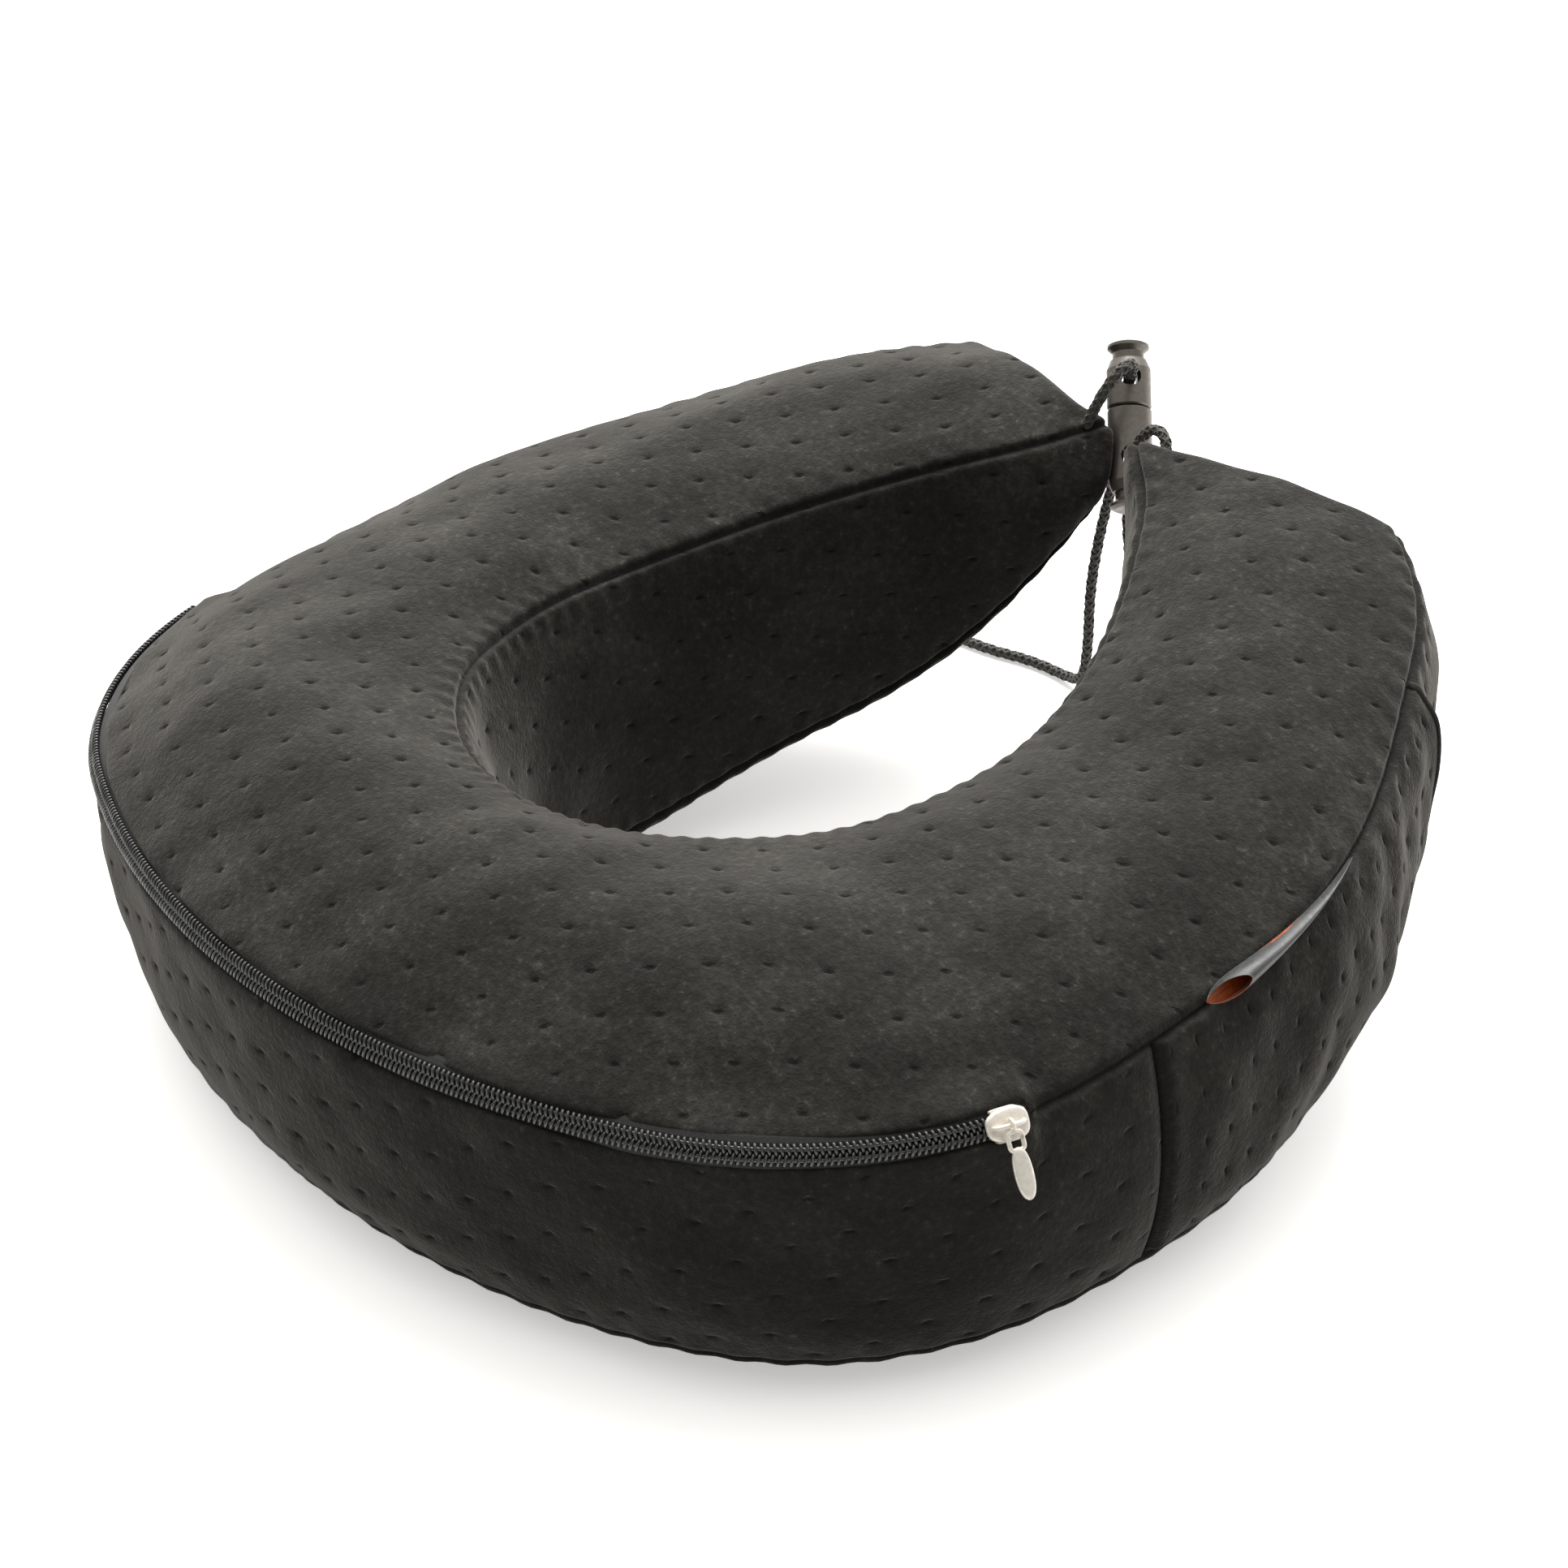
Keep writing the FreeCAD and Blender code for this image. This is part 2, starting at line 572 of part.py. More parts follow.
LEFT_LEAD = (
    Vector(14.5, -113.2, 97.5), Vector(12.5, -115.5, 104.0), Vector(10.4, -118.6, 109.6),
    Vector(9.6, -123.0, 112.6), Vector(11.2, -126.6, 110.2), UPPER_EYE_AT - EYE_AXIS * 7.0,
)
LEFT_TAIL = (
    UPPER_EYE_AT - EYE_AXIS * 6.2, UPPER_EYE_AT + EYE_AXIS * 9.5,
    Vector(28, -138, 84), Vector(33, -139, 68), Vector(38, -138, 51), Vector(41, -136.5, 34),
    Vector(42, -136, 17), Vector(45, -136.5, 5), Vector(54, -139, 1.6),
    Vector(67, -138.5, 1.6), Vector(81, -134, 1.6), Vector(93, -133, 1.6),
)
RIGHT_CORD = (
    Vector(-12.5, -114.0, 94.5), Vector(-9.5, -118.0, 101.5), Vector(-2.5, -118.5, 101.5),
    LOWER_EYE_AT - EYE_AXIS * 8.5, LOWER_EYE_AT + EYE_AXIS * 8.5,
    Vector(17.5, -128.5, 69), Vector(19, -130, 54), Vector(19, -133, 39),
    Vector(18, -138, 24), Vector(15, -143, 10), Vector(8, -148, 1.6),
    Vector(-4, -151, 1.6), Vector(-17, -149, 1.6), Vector(-28, -152, 1.6),
)


def corner_arc(before, point, after):
    """Tangent points and arc at one point of a route, as large as its two runs allow."""
    back, ahead = before - point, after - point
    turn = math.pi - back.getAngle(ahead)
    trim = 0.45 * min(back.Length, ahead.Length)
    start = point + back * (trim / back.Length)
    end = point + ahead * (trim / ahead.Length)
    radius = trim / math.tan(turn / 2)
    bisector = (back * (1 / back.Length) + ahead * (1 / ahead.Length)).normalize()
    reach = radius / math.cos(turn / 2) - radius
    return start, point + bisector * reach, end, radius


def tube(route, name):
    """Round cord swept along straight runs joined by tangent arcs."""
    edges, radii, at = [], [], route[0]
    for i in range(1, len(route) - 1):
        start, middle, end, radius = corner_arc(route[i - 1], route[i], route[i + 1])
        edges += [Part.LineSegment(at, start).toShape(), Part.Arc(start, middle, end).toShape()]
        radii.append(round(radius, 1))
        at = end
    edges.append(Part.LineSegment(at, route[-1]).toShape())
    path = Part.Wire(edges)
    disc = Part.Wire(Part.Circle(route[0], route[1] - route[0], CORD_RADIUS).toShape())
    solid = path.makePipeShell([disc], True, False)
    expected = math.pi * CORD_RADIUS ** 2 * path.Length
    print(f"{name}: {path.Length:.1f} mm, radii {radii}, volume ratio {solid.Volume / expected:.4f}")
    return solid


def knot(route):
    """Overhand knot at a cord's end, as the ball that it fills."""
    end = route[-1]
    along = (route[-1] - route[-2]).normalize()
    centre = end + along * 2.6
    return Part.makeSphere(2.9, Vector(centre.x, centre.y, max(centre.z, 2.9)))


def cord_parts():
    return {
        "cord_left_lead": tube(LEFT_LEAD, "cord_left_lead"),
        "cord_left_tail": tube(LEFT_TAIL, "cord_left_tail"),
        "cord_left_knot": knot(LEFT_TAIL),
        "cord_right": tube(RIGHT_CORD, "cord_right"),
        "cord_right_knot": knot(RIGHT_CORD),
    }


# --- build --------------------------------------------------------------------------------

def sew_ons():
    return {"side_pocket": pocket(), "pocket_hem": pocket_hem(), "side_label": label()}


def build():
    parts = {}
    for group in (filling, cover_panels, sew_ons, zip_parts, lock_parts, cord_parts):
        parts.update(group())
    return parts


def base_centre(parts):
    """Middle of the base of the box round everything but the cords, to a thousandth."""
    boxes = [s.optimalBoundingBox(False, False) for n, s in parts.items() if not n.startswith("cord")]
    middle_x = (min(b.XMin for b in boxes) + max(b.XMax for b in boxes)) / 2
    middle_y = (min(b.YMin for b in boxes) + max(b.YMax for b in boxes)) / 2
    base = min(b.ZMin for b in boxes)
    return Vector(round(middle_x, 3), round(middle_y, 3), round(base, 3))


def print_joints(origin):
    """Axes and pivots of the moving parts in the finished frame."""
    zip_placement = zip_frame()
    pivot = zip_placement.multVec(Vector(0, 0, BRIDGE_HEIGHT)) - origin
    print("origin moved by", origin)
    print("zip slider turns about", Vector(-CORNER_CENTRE.x, CORNER_CENTRE.y, 0) - origin)
    print("pull pivot", pivot, "axis", zip_placement.Rotation.multVec(Vector(-1, 0, 0)))
    print("lock axis", LOCK_AXIS, "meeting point", LOCK_RING - origin)


def main():
    os.makedirs("parts", exist_ok=True)
    parts = build()
    origin = base_centre(parts)
    for name, shape in parts.items():
        shape.translate(origin * -1)
        shape.exportStep(f"parts/{name}.step")
        print(f"{name}: {len(shape.Solids)} solid, valid {shape.isValid()}, {shape.Volume / 1000:.2f} cm3")
    print_joints(origin)


main()
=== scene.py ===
# %% [markdown]
# # A U-shaped neck pillow
# A moulded foam horseshoe in a zipped velour cover, closed at the front by two cord locks that
# clasp together. The design file already holds every solid and every joint. This lesson keeps
# that frame still and dresses it: cloth, seams, zip, cords and finishes.
# Sizes in the first half are written in millimetres and turned into metres as a mesh is made.

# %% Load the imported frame
import json
import math
import bpy
import numpy as np
from mathutils import Matrix, Vector


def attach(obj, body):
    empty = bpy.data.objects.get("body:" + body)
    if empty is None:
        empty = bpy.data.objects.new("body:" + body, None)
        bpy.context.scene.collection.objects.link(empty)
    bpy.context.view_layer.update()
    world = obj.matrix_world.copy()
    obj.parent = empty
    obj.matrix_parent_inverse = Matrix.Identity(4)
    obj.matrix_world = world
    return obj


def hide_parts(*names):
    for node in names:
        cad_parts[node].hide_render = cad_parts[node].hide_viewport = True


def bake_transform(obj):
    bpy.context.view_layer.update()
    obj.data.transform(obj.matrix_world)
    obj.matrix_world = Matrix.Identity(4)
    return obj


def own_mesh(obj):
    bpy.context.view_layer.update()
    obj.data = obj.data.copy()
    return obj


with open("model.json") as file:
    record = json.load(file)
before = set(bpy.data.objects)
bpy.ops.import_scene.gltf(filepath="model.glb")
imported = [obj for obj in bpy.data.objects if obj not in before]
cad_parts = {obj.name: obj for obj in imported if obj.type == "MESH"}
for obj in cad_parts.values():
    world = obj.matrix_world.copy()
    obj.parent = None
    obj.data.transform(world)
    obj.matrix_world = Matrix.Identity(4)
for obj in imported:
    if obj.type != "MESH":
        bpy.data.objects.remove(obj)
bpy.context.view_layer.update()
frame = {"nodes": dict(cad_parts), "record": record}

MM = 0.001
joints = {j["name"]: j for j in frame["record"]["behaviour"]["joints"]}

# %% [markdown]
# The design was drawn about its own middle and then moved so that it stands on its base.
# The zip's joint turns about the centre of the right-hand corner of the U, so comparing that
# point with the drawing gives the move, and nothing has to be measured by eye.

# %% Plan of the back of the pillow
NAPE_REACH, NAPE_RADIUS, NAPE_HALF, HALF_WIDTH = 139.0, 240.0, 100.0, 152.0
ZIP_SEAM = 64.0
MEET = math.asin(NAPE_HALF / NAPE_RADIUS)
CORNER_RADIUS = (HALF_WIDTH - NAPE_HALF) / (1 - math.sin(MEET))
NAPE_Y = NAPE_REACH - NAPE_RADIUS
CORNER_X = HALF_WIDTH - CORNER_RADIUS
CORNER_Y = NAPE_Y + (NAPE_RADIUS - CORNER_RADIUS) * math.cos(MEET)
zip_pivot = joints["zip_travel"]["pos_m"]
MOVE = np.array([zip_pivot[0] / MM + CORNER_X, zip_pivot[1] / MM - CORNER_Y, 0.0])
print("drawing to frame:", MOVE.round(3), "mm")


def outline(heading):
    """Point of the outer top seam at a heading in radians from the nape, + towards +X."""
    side = 1 if heading > 0 else -1
    if abs(heading) <= MEET:
        return NAPE_RADIUS * math.sin(heading), NAPE_Y + NAPE_RADIUS * math.cos(heading)
    return side * CORNER_X + CORNER_RADIUS * math.sin(heading), CORNER_Y + CORNER_RADIUS * math.cos(heading)


# %% [markdown]
# ## Camera
# A long lens a metre away keeps the arms of the U from looking stretched. The camera is placed
# by its bearing, height and lean about the middle of the pillow, like a tripod.

# %% Camera on its tripod
AIM = Vector((0.0025, -0.0045, 0.0518))
BEARING, HEIGHT, LEAN = math.radians(232.8), math.radians(31.13), math.radians(-4.58)
DISTANCE = 1.021
LENS, SENSOR_WIDTH = 101.7, 36
NEAREST, FARTHEST = 0.05, 20


def make_camera():
    camera = bpy.data.objects.new("camera", bpy.data.cameras.new("camera"))
    bpy.context.scene.collection.objects.link(camera)
    back = Vector((
        math.sin(BEARING) * math.cos(HEIGHT), -math.cos(BEARING) * math.cos(HEIGHT), math.sin(HEIGHT)
    ))
    turn = (-back).to_track_quat("-Z", "Y").to_matrix() @ Matrix.Rotation(LEAN, 3, "Z")
    camera.matrix_world = Matrix.Translation(AIM + back * DISTANCE) @ turn.to_4x4()
    camera.data.lens = LENS
    camera.data.sensor_width = SENSOR_WIDTH
    camera.data.clip_start, camera.data.clip_end = NEAREST, FARTHEST
    bpy.context.scene.camera = camera


make_camera()
print("camera at", [round(x, 3) for x in bpy.context.scene.camera.location])

# %% [markdown]
# ## Small helpers
# Every soft piece here is a grid or a tube of points worked out with numpy. These helpers make
# the faces between rows of points, link a finished object into the scene with its material,
# and tell the frame which body it rides on and which solids it stands for.

# %% Grids, tubes and objects


def grid_quads(rows, columns, wrap=False):
    """Faces between rows of points; wrap joins the last column to the first."""
    index = np.arange(rows * columns).reshape(rows, columns)
    if wrap:
        index = np.hstack([index, index[:, :1]])
    low, high = index[:-1], index[1:]
    return np.stack([low[:, :-1], low[:, 1:], high[:, 1:], high[:, :-1]], -1).reshape(-1, 4)


def add_mesh(name, points, faces, finish, smooth=True):
    """A mesh object from points in metres."""
    mesh = bpy.data.meshes.new(name)
    mesh.from_pydata(np.asarray(points, float).reshape(-1, 3).tolist(), [], [list(f) for f in faces])
    mesh.materials.append(finish)
    mesh.polygons.foreach_set("use_smooth", [smooth] * len(mesh.polygons))
    piece = bpy.data.objects.new(name, mesh)
    bpy.context.scene.collection.objects.link(piece)
    return piece


def dress(piece, body, slot_name, *nodes):
    """Seat a piece on its body, in place of the solids that it stands for."""
    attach(piece, body)
    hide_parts(*nodes)


def capped(rows, columns):
    """Faces of a closed tube: the skin between its rings and a lid at either end."""
    first = list(range(columns))
    lids = [first[::-1], [(rows - 1) * columns + i for i in first]]
    return grid_quads(rows, columns, wrap=True).tolist() + lids


def unit(v):
    return v / np.maximum(np.linalg.norm(v, axis=-1, keepdims=True), 1e-12)


# %% [markdown]
# Cloth and cord are measured along their lines of points, so three helpers read a line by the
# distance from its start. A tube also needs directions across its path that don't spin.

# %% Lines of points


def distances(line):
    """How far along a line of points each of them lies."""
    return np.concatenate([[0], np.cumsum(np.linalg.norm(np.diff(line, axis=0), axis=1))])


def points_along(line, at):
    """Points at given distances along a line of points."""
    run = distances(line)
    return np.stack([np.interp(at, run, line[:, k]) for k in range(3)], -1)


def evenly(line, step):
    """The same line with its points about a step apart."""
    length = distances(line)[-1]
    return points_along(line, np.linspace(0, length, int(length / step)))


def path_frames(path):
    """Tangent, side and up along a path, turned as little as possible from point to point."""
    tangent = unit(np.gradient(path, axis=0))
    side = np.zeros_like(path)
    first = np.cross(tangent[0], (0.0, 0.0, 1.0))
    side[0] = unit(first if np.linalg.norm(first) > 1e-3 else np.array([1.0, 0.0, 0.0]))
    for i in range(1, len(path)):
        carried = side[i - 1] - tangent[i] * np.dot(side[i - 1], tangent[i])
        side[i] = unit(carried)
    return tangent, side, np.cross(tangent, side)


def tube(path, radius, sides=8):
    """Points and faces of a round tube with closed ends."""
    path = np.asarray(path, float)
    _, side, up = path_frames(path)
    turn = np.linspace(0, 2 * math.pi, sides, endpoint=False)
    radius = np.broadcast_to(np.asarray(radius, float), (len(path),))[:, None, None]
    ring = side[:, None] * np.cos(turn)[None, :, None] + up[:, None] * np.sin(turn)[None, :, None]
    return (path[:, None] + ring * radius).reshape(-1, 3), capped(len(path), sides)


def joined(parts):
    """Several (points, faces) as one."""
    points, faces, start = [], [], 0
    for some, quads in parts:
        points.append(np.asarray(some, float).reshape(-1, 3))
        faces += [[i + start for i in f] for f in quads]
        start += len(points[-1])
    return np.vstack(points), faces


# %% [markdown]
# ## Finishes
# Every finish is a Principled shader fed by procedural noise, so it needs no picture. The
# figures are linear colours: a black velour in soft light is only about 2 % grey, and most
# of what the eye reads as velour is the pale bloom that sheen adds at a glancing angle.

# %% A small kit for shader nodes


def shade(colour, by):
    """A lighter or darker version of a colour."""
    return tuple(c * by for c in colour)


class Finish:
    """A material with its Principled shader and short calls for the nodes that this lesson uses."""

    def __init__(self, name, colour, roughness, metallic=0.0):
        self.material = bpy.data.materials.new(name)
        self.material.use_nodes = True
        self.tree = self.material.node_tree
        self.shader = self.tree.nodes["Principled BSDF"]
        self.shader.inputs["Base Color"].default_value = (*colour, 1)
        self.shader.inputs["Roughness"].default_value = roughness
        self.shader.inputs["Metallic"].default_value = metallic

    def node(self, kind, **settings):
        made = self.tree.nodes.new(kind)
        for key, value in settings.items():
            setattr(made, key, value)
        return made

    def link(self, start, end):
        self.tree.links.new(start, end)

    def feed(self, socket, value):
        """Give a socket a number, a colour or another node's output."""
        if isinstance(value, (int, float)):
            socket.default_value = value
        elif isinstance(value, tuple):
            socket.default_value = (*value, 1)
        else:
            self.link(value, socket)

    def place(self):
        """Object coordinates, which are metres in the pillow's frame."""
        return self.node("ShaderNodeTexCoord").outputs["Object"]

    def noise(self, scale, detail=2.0, rough=0.5, stretch=None):
        """Noise of so many waves to the metre; stretch squeezes it along the axes."""
        made = self.node("ShaderNodeTexNoise")
        made.inputs["Scale"].default_value = scale
        made.inputs["Detail"].default_value = detail
        made.inputs["Roughness"].default_value = rough
        where = self.place()
        if stretch:
            squeeze = self.node("ShaderNodeMapping")
            squeeze.inputs["Scale"].default_value = stretch
            self.link(where, squeeze.inputs["Vector"])
            where = squeeze.outputs["Vector"]
        self.link(where, made.inputs["Vector"])
        return made.outputs["Fac"]

    def ramp(self, value, stops):
        """Colours against a value from 0 to 1."""
        made = self.node("ShaderNodeValToRGB")
        while len(made.color_ramp.elements) < len(stops):
            made.color_ramp.elements.new(0.5)
        for element, (at, colour) in zip(made.color_ramp.elements, stops):
            element.position = at
            element.color = (*colour, 1)
        self.link(value, made.inputs["Fac"])
        return made.outputs["Color"]

    def sum(self, a, b, how="ADD"):
        """Two values added, or put together in another way."""
        made = self.node("ShaderNodeMath", operation=how)
        for socket, value in zip(made.inputs, (a, b)):
            self.feed(socket, value)
        return made.outputs[0]

    def vector(self, value, how, by=None):
        """A vector worked on by itself or by a fixed one."""
        made = self.node("ShaderNodeVectorMath", operation=how)
        self.link(value, made.inputs[0])
        if by:
            made.inputs[1].default_value = by
        return made.outputs["Value" if how == "LENGTH" else "Vector"]

    def mix(self, share, a, b, how="MIX"):
        """Colour a with a share of colour b over it."""
        made = self.node("ShaderNodeMix", data_type="RGBA", blend_type=how)
        for socket, value in ((0, share), (6, a), (7, b)):
            self.feed(made.inputs[socket], value)
        return made.outputs[2]

    def bump(self, height, depth, strength=1.0):
        """Raise the surface by `depth` metres where the height is 1."""
        made = self.node("ShaderNodeBump")
        made.inputs["Strength"].default_value = strength
        made.inputs["Distance"].default_value = depth
        self.link(height, made.inputs["Height"])
        self.link(made.outputs["Normal"], self.shader.inputs["Normal"])

    def colour(self, value):
        self.link(value, self.shader.inputs["Base Color"])

    def rough(self, value):
        self.link(value, self.shader.inputs["Roughness"])

    def sheen(self, weight, rough, tint):
        self.shader.inputs["Sheen Weight"].default_value = weight
        self.shader.inputs["Sheen Roughness"].default_value = rough
        self.shader.inputs["Sheen Tint"].default_value = (*tint, 1)


# %% [markdown]
# ### Velour
# The cover is a soft velour whose foam backing has been needled: every twelve millimetres or
# so a small slit pulls the pile down. The pile lies in patches, so the colour drifts between
# two greys over a few centimetres, and fine speckles vary its tone, with painted highlights
# where single tufts catch the light. Each panel carries its own needle lattice in a UV map
# called "pins", with one pin in the middle of each unit square, so the painted shade of each
# slit falls exactly in the dimple of the mesh. The pile stands less where it turns in at a
# seam, and the shade it lies in there is painted into the colour: an attribute called "seam"
# says how close a point is to one, and the shader darkens the cloth by it.

# %% Velour with pinned dimples
PIN_ACROSS, PIN_ALONG = 12.2, 12.0
SLIT_LONG, SLIT_SHORT = 1.15, 0.62


def pin_mask(finish):
    """1 inside a pin's slit, 0 a little way off."""
    pins = finish.node("ShaderNodeUVMap", uv_map="pins").outputs["UV"]
    from_pin = finish.vector(finish.vector(pins, "FRACTION"), "SUBTRACT", (0.5, 0.5, 0))
    in_slits = (PIN_ACROSS / SLIT_LONG, PIN_ALONG / SLIT_SHORT, 0)
    away = finish.vector(finish.vector(from_pin, "MULTIPLY", in_slits), "LENGTH")
    ragged = finish.sum(finish.noise(900, 2), 1.1, "MULTIPLY")
    reach = finish.sum(away, ragged)
    return finish.ramp(finish.sum(reach, 0.4, "MULTIPLY"), [(0.38, (1, 1, 1)), (0.78, (0, 0, 0))])


PILE_DEEP = (0.0150, 0.0143, 0.0122)
PILE_MIDDLE = (0.0235, 0.0225, 0.0192)
PILE_PALE = (0.0385, 0.0368, 0.0318)
# Painted shade: near-black colours laid into each needle slit and along the seams.
SLIT_PAINTED_SHADE, SEAM_PAINTED_SHADE = (0.0035, 0.0035, 0.0033), (0.003, 0.003, 0.003)


def velour(name, strength=1.0, pinned=True):
    """Short pile: drifting patches, fine speckles of tone with painted highlights on single tufts, a bloom of
    sheen, and painted shade in the slits and along the seams.
    """
    finish = Finish(name, (0.02, 0.02, 0.019), 0.92)
    finish.sheen(0.4, 0.38, (0.64, 0.61, 0.56))
    finish.shader.inputs["Specular IOR Level"].default_value = 0.18
    patches = finish.ramp(
        finish.noise(34, 4, 0.62),
        [(0.33, shade(PILE_DEEP, strength)), (0.52, shade(PILE_MIDDLE, strength)),
         (0.70, shade(PILE_PALE, strength))],
    )
    tufts = finish.noise(520, 3, 0.7)
    # Fine speckles of tone in the pile, brightened on single tufts as a painted highlight where they catch
    # the light.
    tuft_tone_and_painted_glint = finish.ramp(
        tufts, [(0.40, (0.55, 0.55, 0.55)), (0.62, (1.0, 1.0, 1.0)), (0.74, (2.3, 2.25, 2.15))]
    )
    cloth = finish.mix(1.0, patches, tuft_tone_and_painted_glint, "MULTIPLY")
    height = finish.sum(tufts, finish.sum(finish.noise(1500, 2, 0.6), 0.5, "MULTIPLY"))
    if pinned:
        # Painted shade: each needle slit is darkened, and the cloth near a seam is darkened by the "seam"
        # attribute.
        slit = pin_mask(finish)
        cloth = finish.mix(finish.sum(slit, 0.82, "MULTIPLY"), cloth, SLIT_PAINTED_SHADE)
        height = finish.sum(height, finish.sum(slit, 0.7, "MULTIPLY"), "SUBTRACT")
        near = finish.node("ShaderNodeAttribute", attribute_name="seam").outputs["Fac"]
        cloth = finish.mix(finish.sum(near, 0.9, "MULTIPLY"), cloth, SEAM_PAINTED_SHADE)
    finish.colour(cloth)
    finish.bump(height, 0.0004, 0.8)
    return finish.material


COVER = velour("black_velour")
HEM_VELOUR = velour("hem_velour", 0.85, pinned=False)
print("velour finishes made")

# %% [markdown]
# ### The other finishes
# The cords are a close polyester braid. The locks are plastic under a thin gunmetal plating,
# and the slider is satin nickel over zinc. Both share one recipe with fine scuffs: strongly
# metallic for the gunmetal, and only a little for the pale nickel, whose near-white colour is
# partly a painted highlight that stands in for the bright reflection of its satin face.
# The label is a satin ribbon, charcoal outside and rust inside.
# A noise shifts every colour between two close shades, as no real finish is quite even.

# %% Plastics, metals, threads and foam


def thread(name, colour, weave=1400, roughness=0.7, sheen=0.3):
    """Fine twisted yarn: faint light and dark lines and a soft bloom."""
    finish = Finish(name, colour, roughness)
    finish.sheen(sheen, 0.4, (0.7, 0.7, 0.68))
    lines = finish.noise(weave, 2, 0.6)
    finish.colour(finish.ramp(lines, [(0.3, shade(colour, 0.6)), (0.7, shade(colour, 1.5))]))
    finish.bump(lines, 0.00012, 0.7)
    return finish.material


def satin(name, colour):
    """Woven ribbon: close weft lines, a clear highlight and slightly uneven shade."""
    finish = Finish(name, colour, 0.42)
    finish.sheen(0.25, 0.3, (0.9, 0.88, 0.85))
    weft = finish.noise(900, 2, 0.5, stretch=(1, 1, 5))
    finish.colour(finish.ramp(weft, [(0.3, shade(colour, 0.7)), (0.7, shade(colour, 1.35))]))
    finish.rough(finish.ramp(weft, [(0.3, (0.34, 0.34, 0.34)), (0.7, (0.52, 0.52, 0.52))]))
    finish.bump(weft, 0.00008, 0.6)
    return finish.material


def moulded(name, colour, roughness):
    """Satin nylon: fine spark texture and paler, smoother rubbed patches."""
    finish = Finish(name, colour, roughness)
    finish.shader.inputs["Specular IOR Level"].default_value = 0.6
    finish.shader.inputs["Coat Weight"].default_value = 0.25
    finish.shader.inputs["Coat Roughness"].default_value = 0.28
    rubbed = finish.noise(160, 3, 0.6)
    finish.colour(finish.ramp(rubbed, [(0.35, colour), (0.75, shade(colour, 1.5))]))
    finish.rough(finish.ramp(rubbed, [(0.35, (roughness,) * 3), (0.8, (roughness * 0.7,) * 3)]))
    finish.bump(finish.noise(3200, 2), 0.00003, 0.5)
    return finish.material


def plated(name, colour, roughness, metallic=1.0):
    """Plated metal with fine scuffs."""
    finish = Finish(name, colour, roughness, metallic=metallic)
    scuff = finish.noise(700, 4, 0.7)
    finish.colour(finish.ramp(scuff, [(0.3, shade(colour, 0.78)), (0.65, colour)]))
    finish.rough(finish.ramp(scuff, [(0.3, (roughness * 1.6,) * 3), (0.7, (roughness,) * 3)]))
    finish.bump(scuff, 0.00003, 0.4)
    return finish.material


def cellular(name, colour):
    """Open foam: round cells in relief and a slow drift of shade."""
    finish = Finish(name, colour, 0.95)
    cells = finish.node("ShaderNodeTexVoronoi")
    cells.inputs["Scale"].default_value = 900
    finish.link(finish.place(), cells.inputs["Vector"])
    finish.colour(finish.ramp(finish.noise(40, 3), [(0.3, shade(colour, 0.85)), (0.7, colour)]))
    finish.bump(cells.outputs["Distance"], 0.0004, 0.8)
    return finish.material


CORD_YARN = thread("cord_braid", (0.032, 0.028, 0.022), 2600, 0.55, 0.35)
TAPE = thread("zip_tape", (0.012, 0.012, 0.012), 1800, 0.8, 0.2)
COIL = moulded("zip_coil", (0.020, 0.020, 0.019), 0.36)
LINER = thread("liner_jersey", (0.55, 0.54, 0.5), 1300, 0.9, 0.2)
LABEL_OUT = satin("label_charcoal", (0.030, 0.033, 0.032))
LABEL_IN = satin("label_rust", (0.30, 0.06, 0.007))
LOCK = plated("lock_gunmetal", (0.15, 0.135, 0.118), 0.33, 0.8)
# The nickel's near-white, barely metallic colour is partly a painted highlight: it stands in for the bright
# reflection of the slider's satin face.
NICKEL_PAINTED_HIGHLIGHT = plated("nickel", (0.97, 0.91, 0.82), 0.28, 0.25)
STEEL = plated("spring_steel", (0.6, 0.6, 0.6), 0.25)
FOAM = cellular("memory_foam", (0.78, 0.72, 0.5))
print("finishes:", len(bpy.data.materials))

# %% [markdown]
# ## The form of the cover
# A moulded pillow is described best by its section. At each station round the U the section
# has six corners, which are its seams and edges, and six sides, each swelling out by a known
# amount. Ten stations from the middle of the nape to a tip describe one half; the other half
# mirrors it. A smooth curve through the stations gives the section anywhere in between.

# %% Stations round half of the U
# outer xy, inner xy, heights: outer top, inner top, outer low, inner low, under outer, under inner,
# crown of the top panel, and how far the neck side leans back at its top
HALF = [
    (outline(0.0), (0, 60), 64, 82, 7, 9, 0, 0, 14, 10),
    (outline(MEET), (31, 52), 64, 82, 7, 9, 0, 0, 14, 9),
    (outline(math.radians(47)), (45, 41), 64, 82, 7, 9, 0, 0, 13.5, 8),
    (outline(math.radians(70)), (55, 27), 64, 81, 8, 10, 0, 0, 13, 6),
    ((152, 24), (61, 8), 67, 81, 9, 11, 0, 0, 12.5, 4),
    ((149, -15), (61, -14), 71, 81, 12, 13, 0.2, 0.2, 12, 3),
    ((136, -55), (53, -43), 77, 84, 23, 22, 14, 13, 11, 3),
    ((112, -93), (37, -74), 86, 90, 35, 36, 27, 27, 9, 2),
    ((94, -115), (22, -95), 91, 95, 43, 56, 37, 46, 8, 1),
    ((72, -130), (8, -112), 96, 99, 52, 81, 47, 76, 5, 0),
]
SIDE_TUCK, SIDE_BULGE, NECK_BULGE, FLAT_SHARE = 5.0, 5.5, 4.0, 0.22


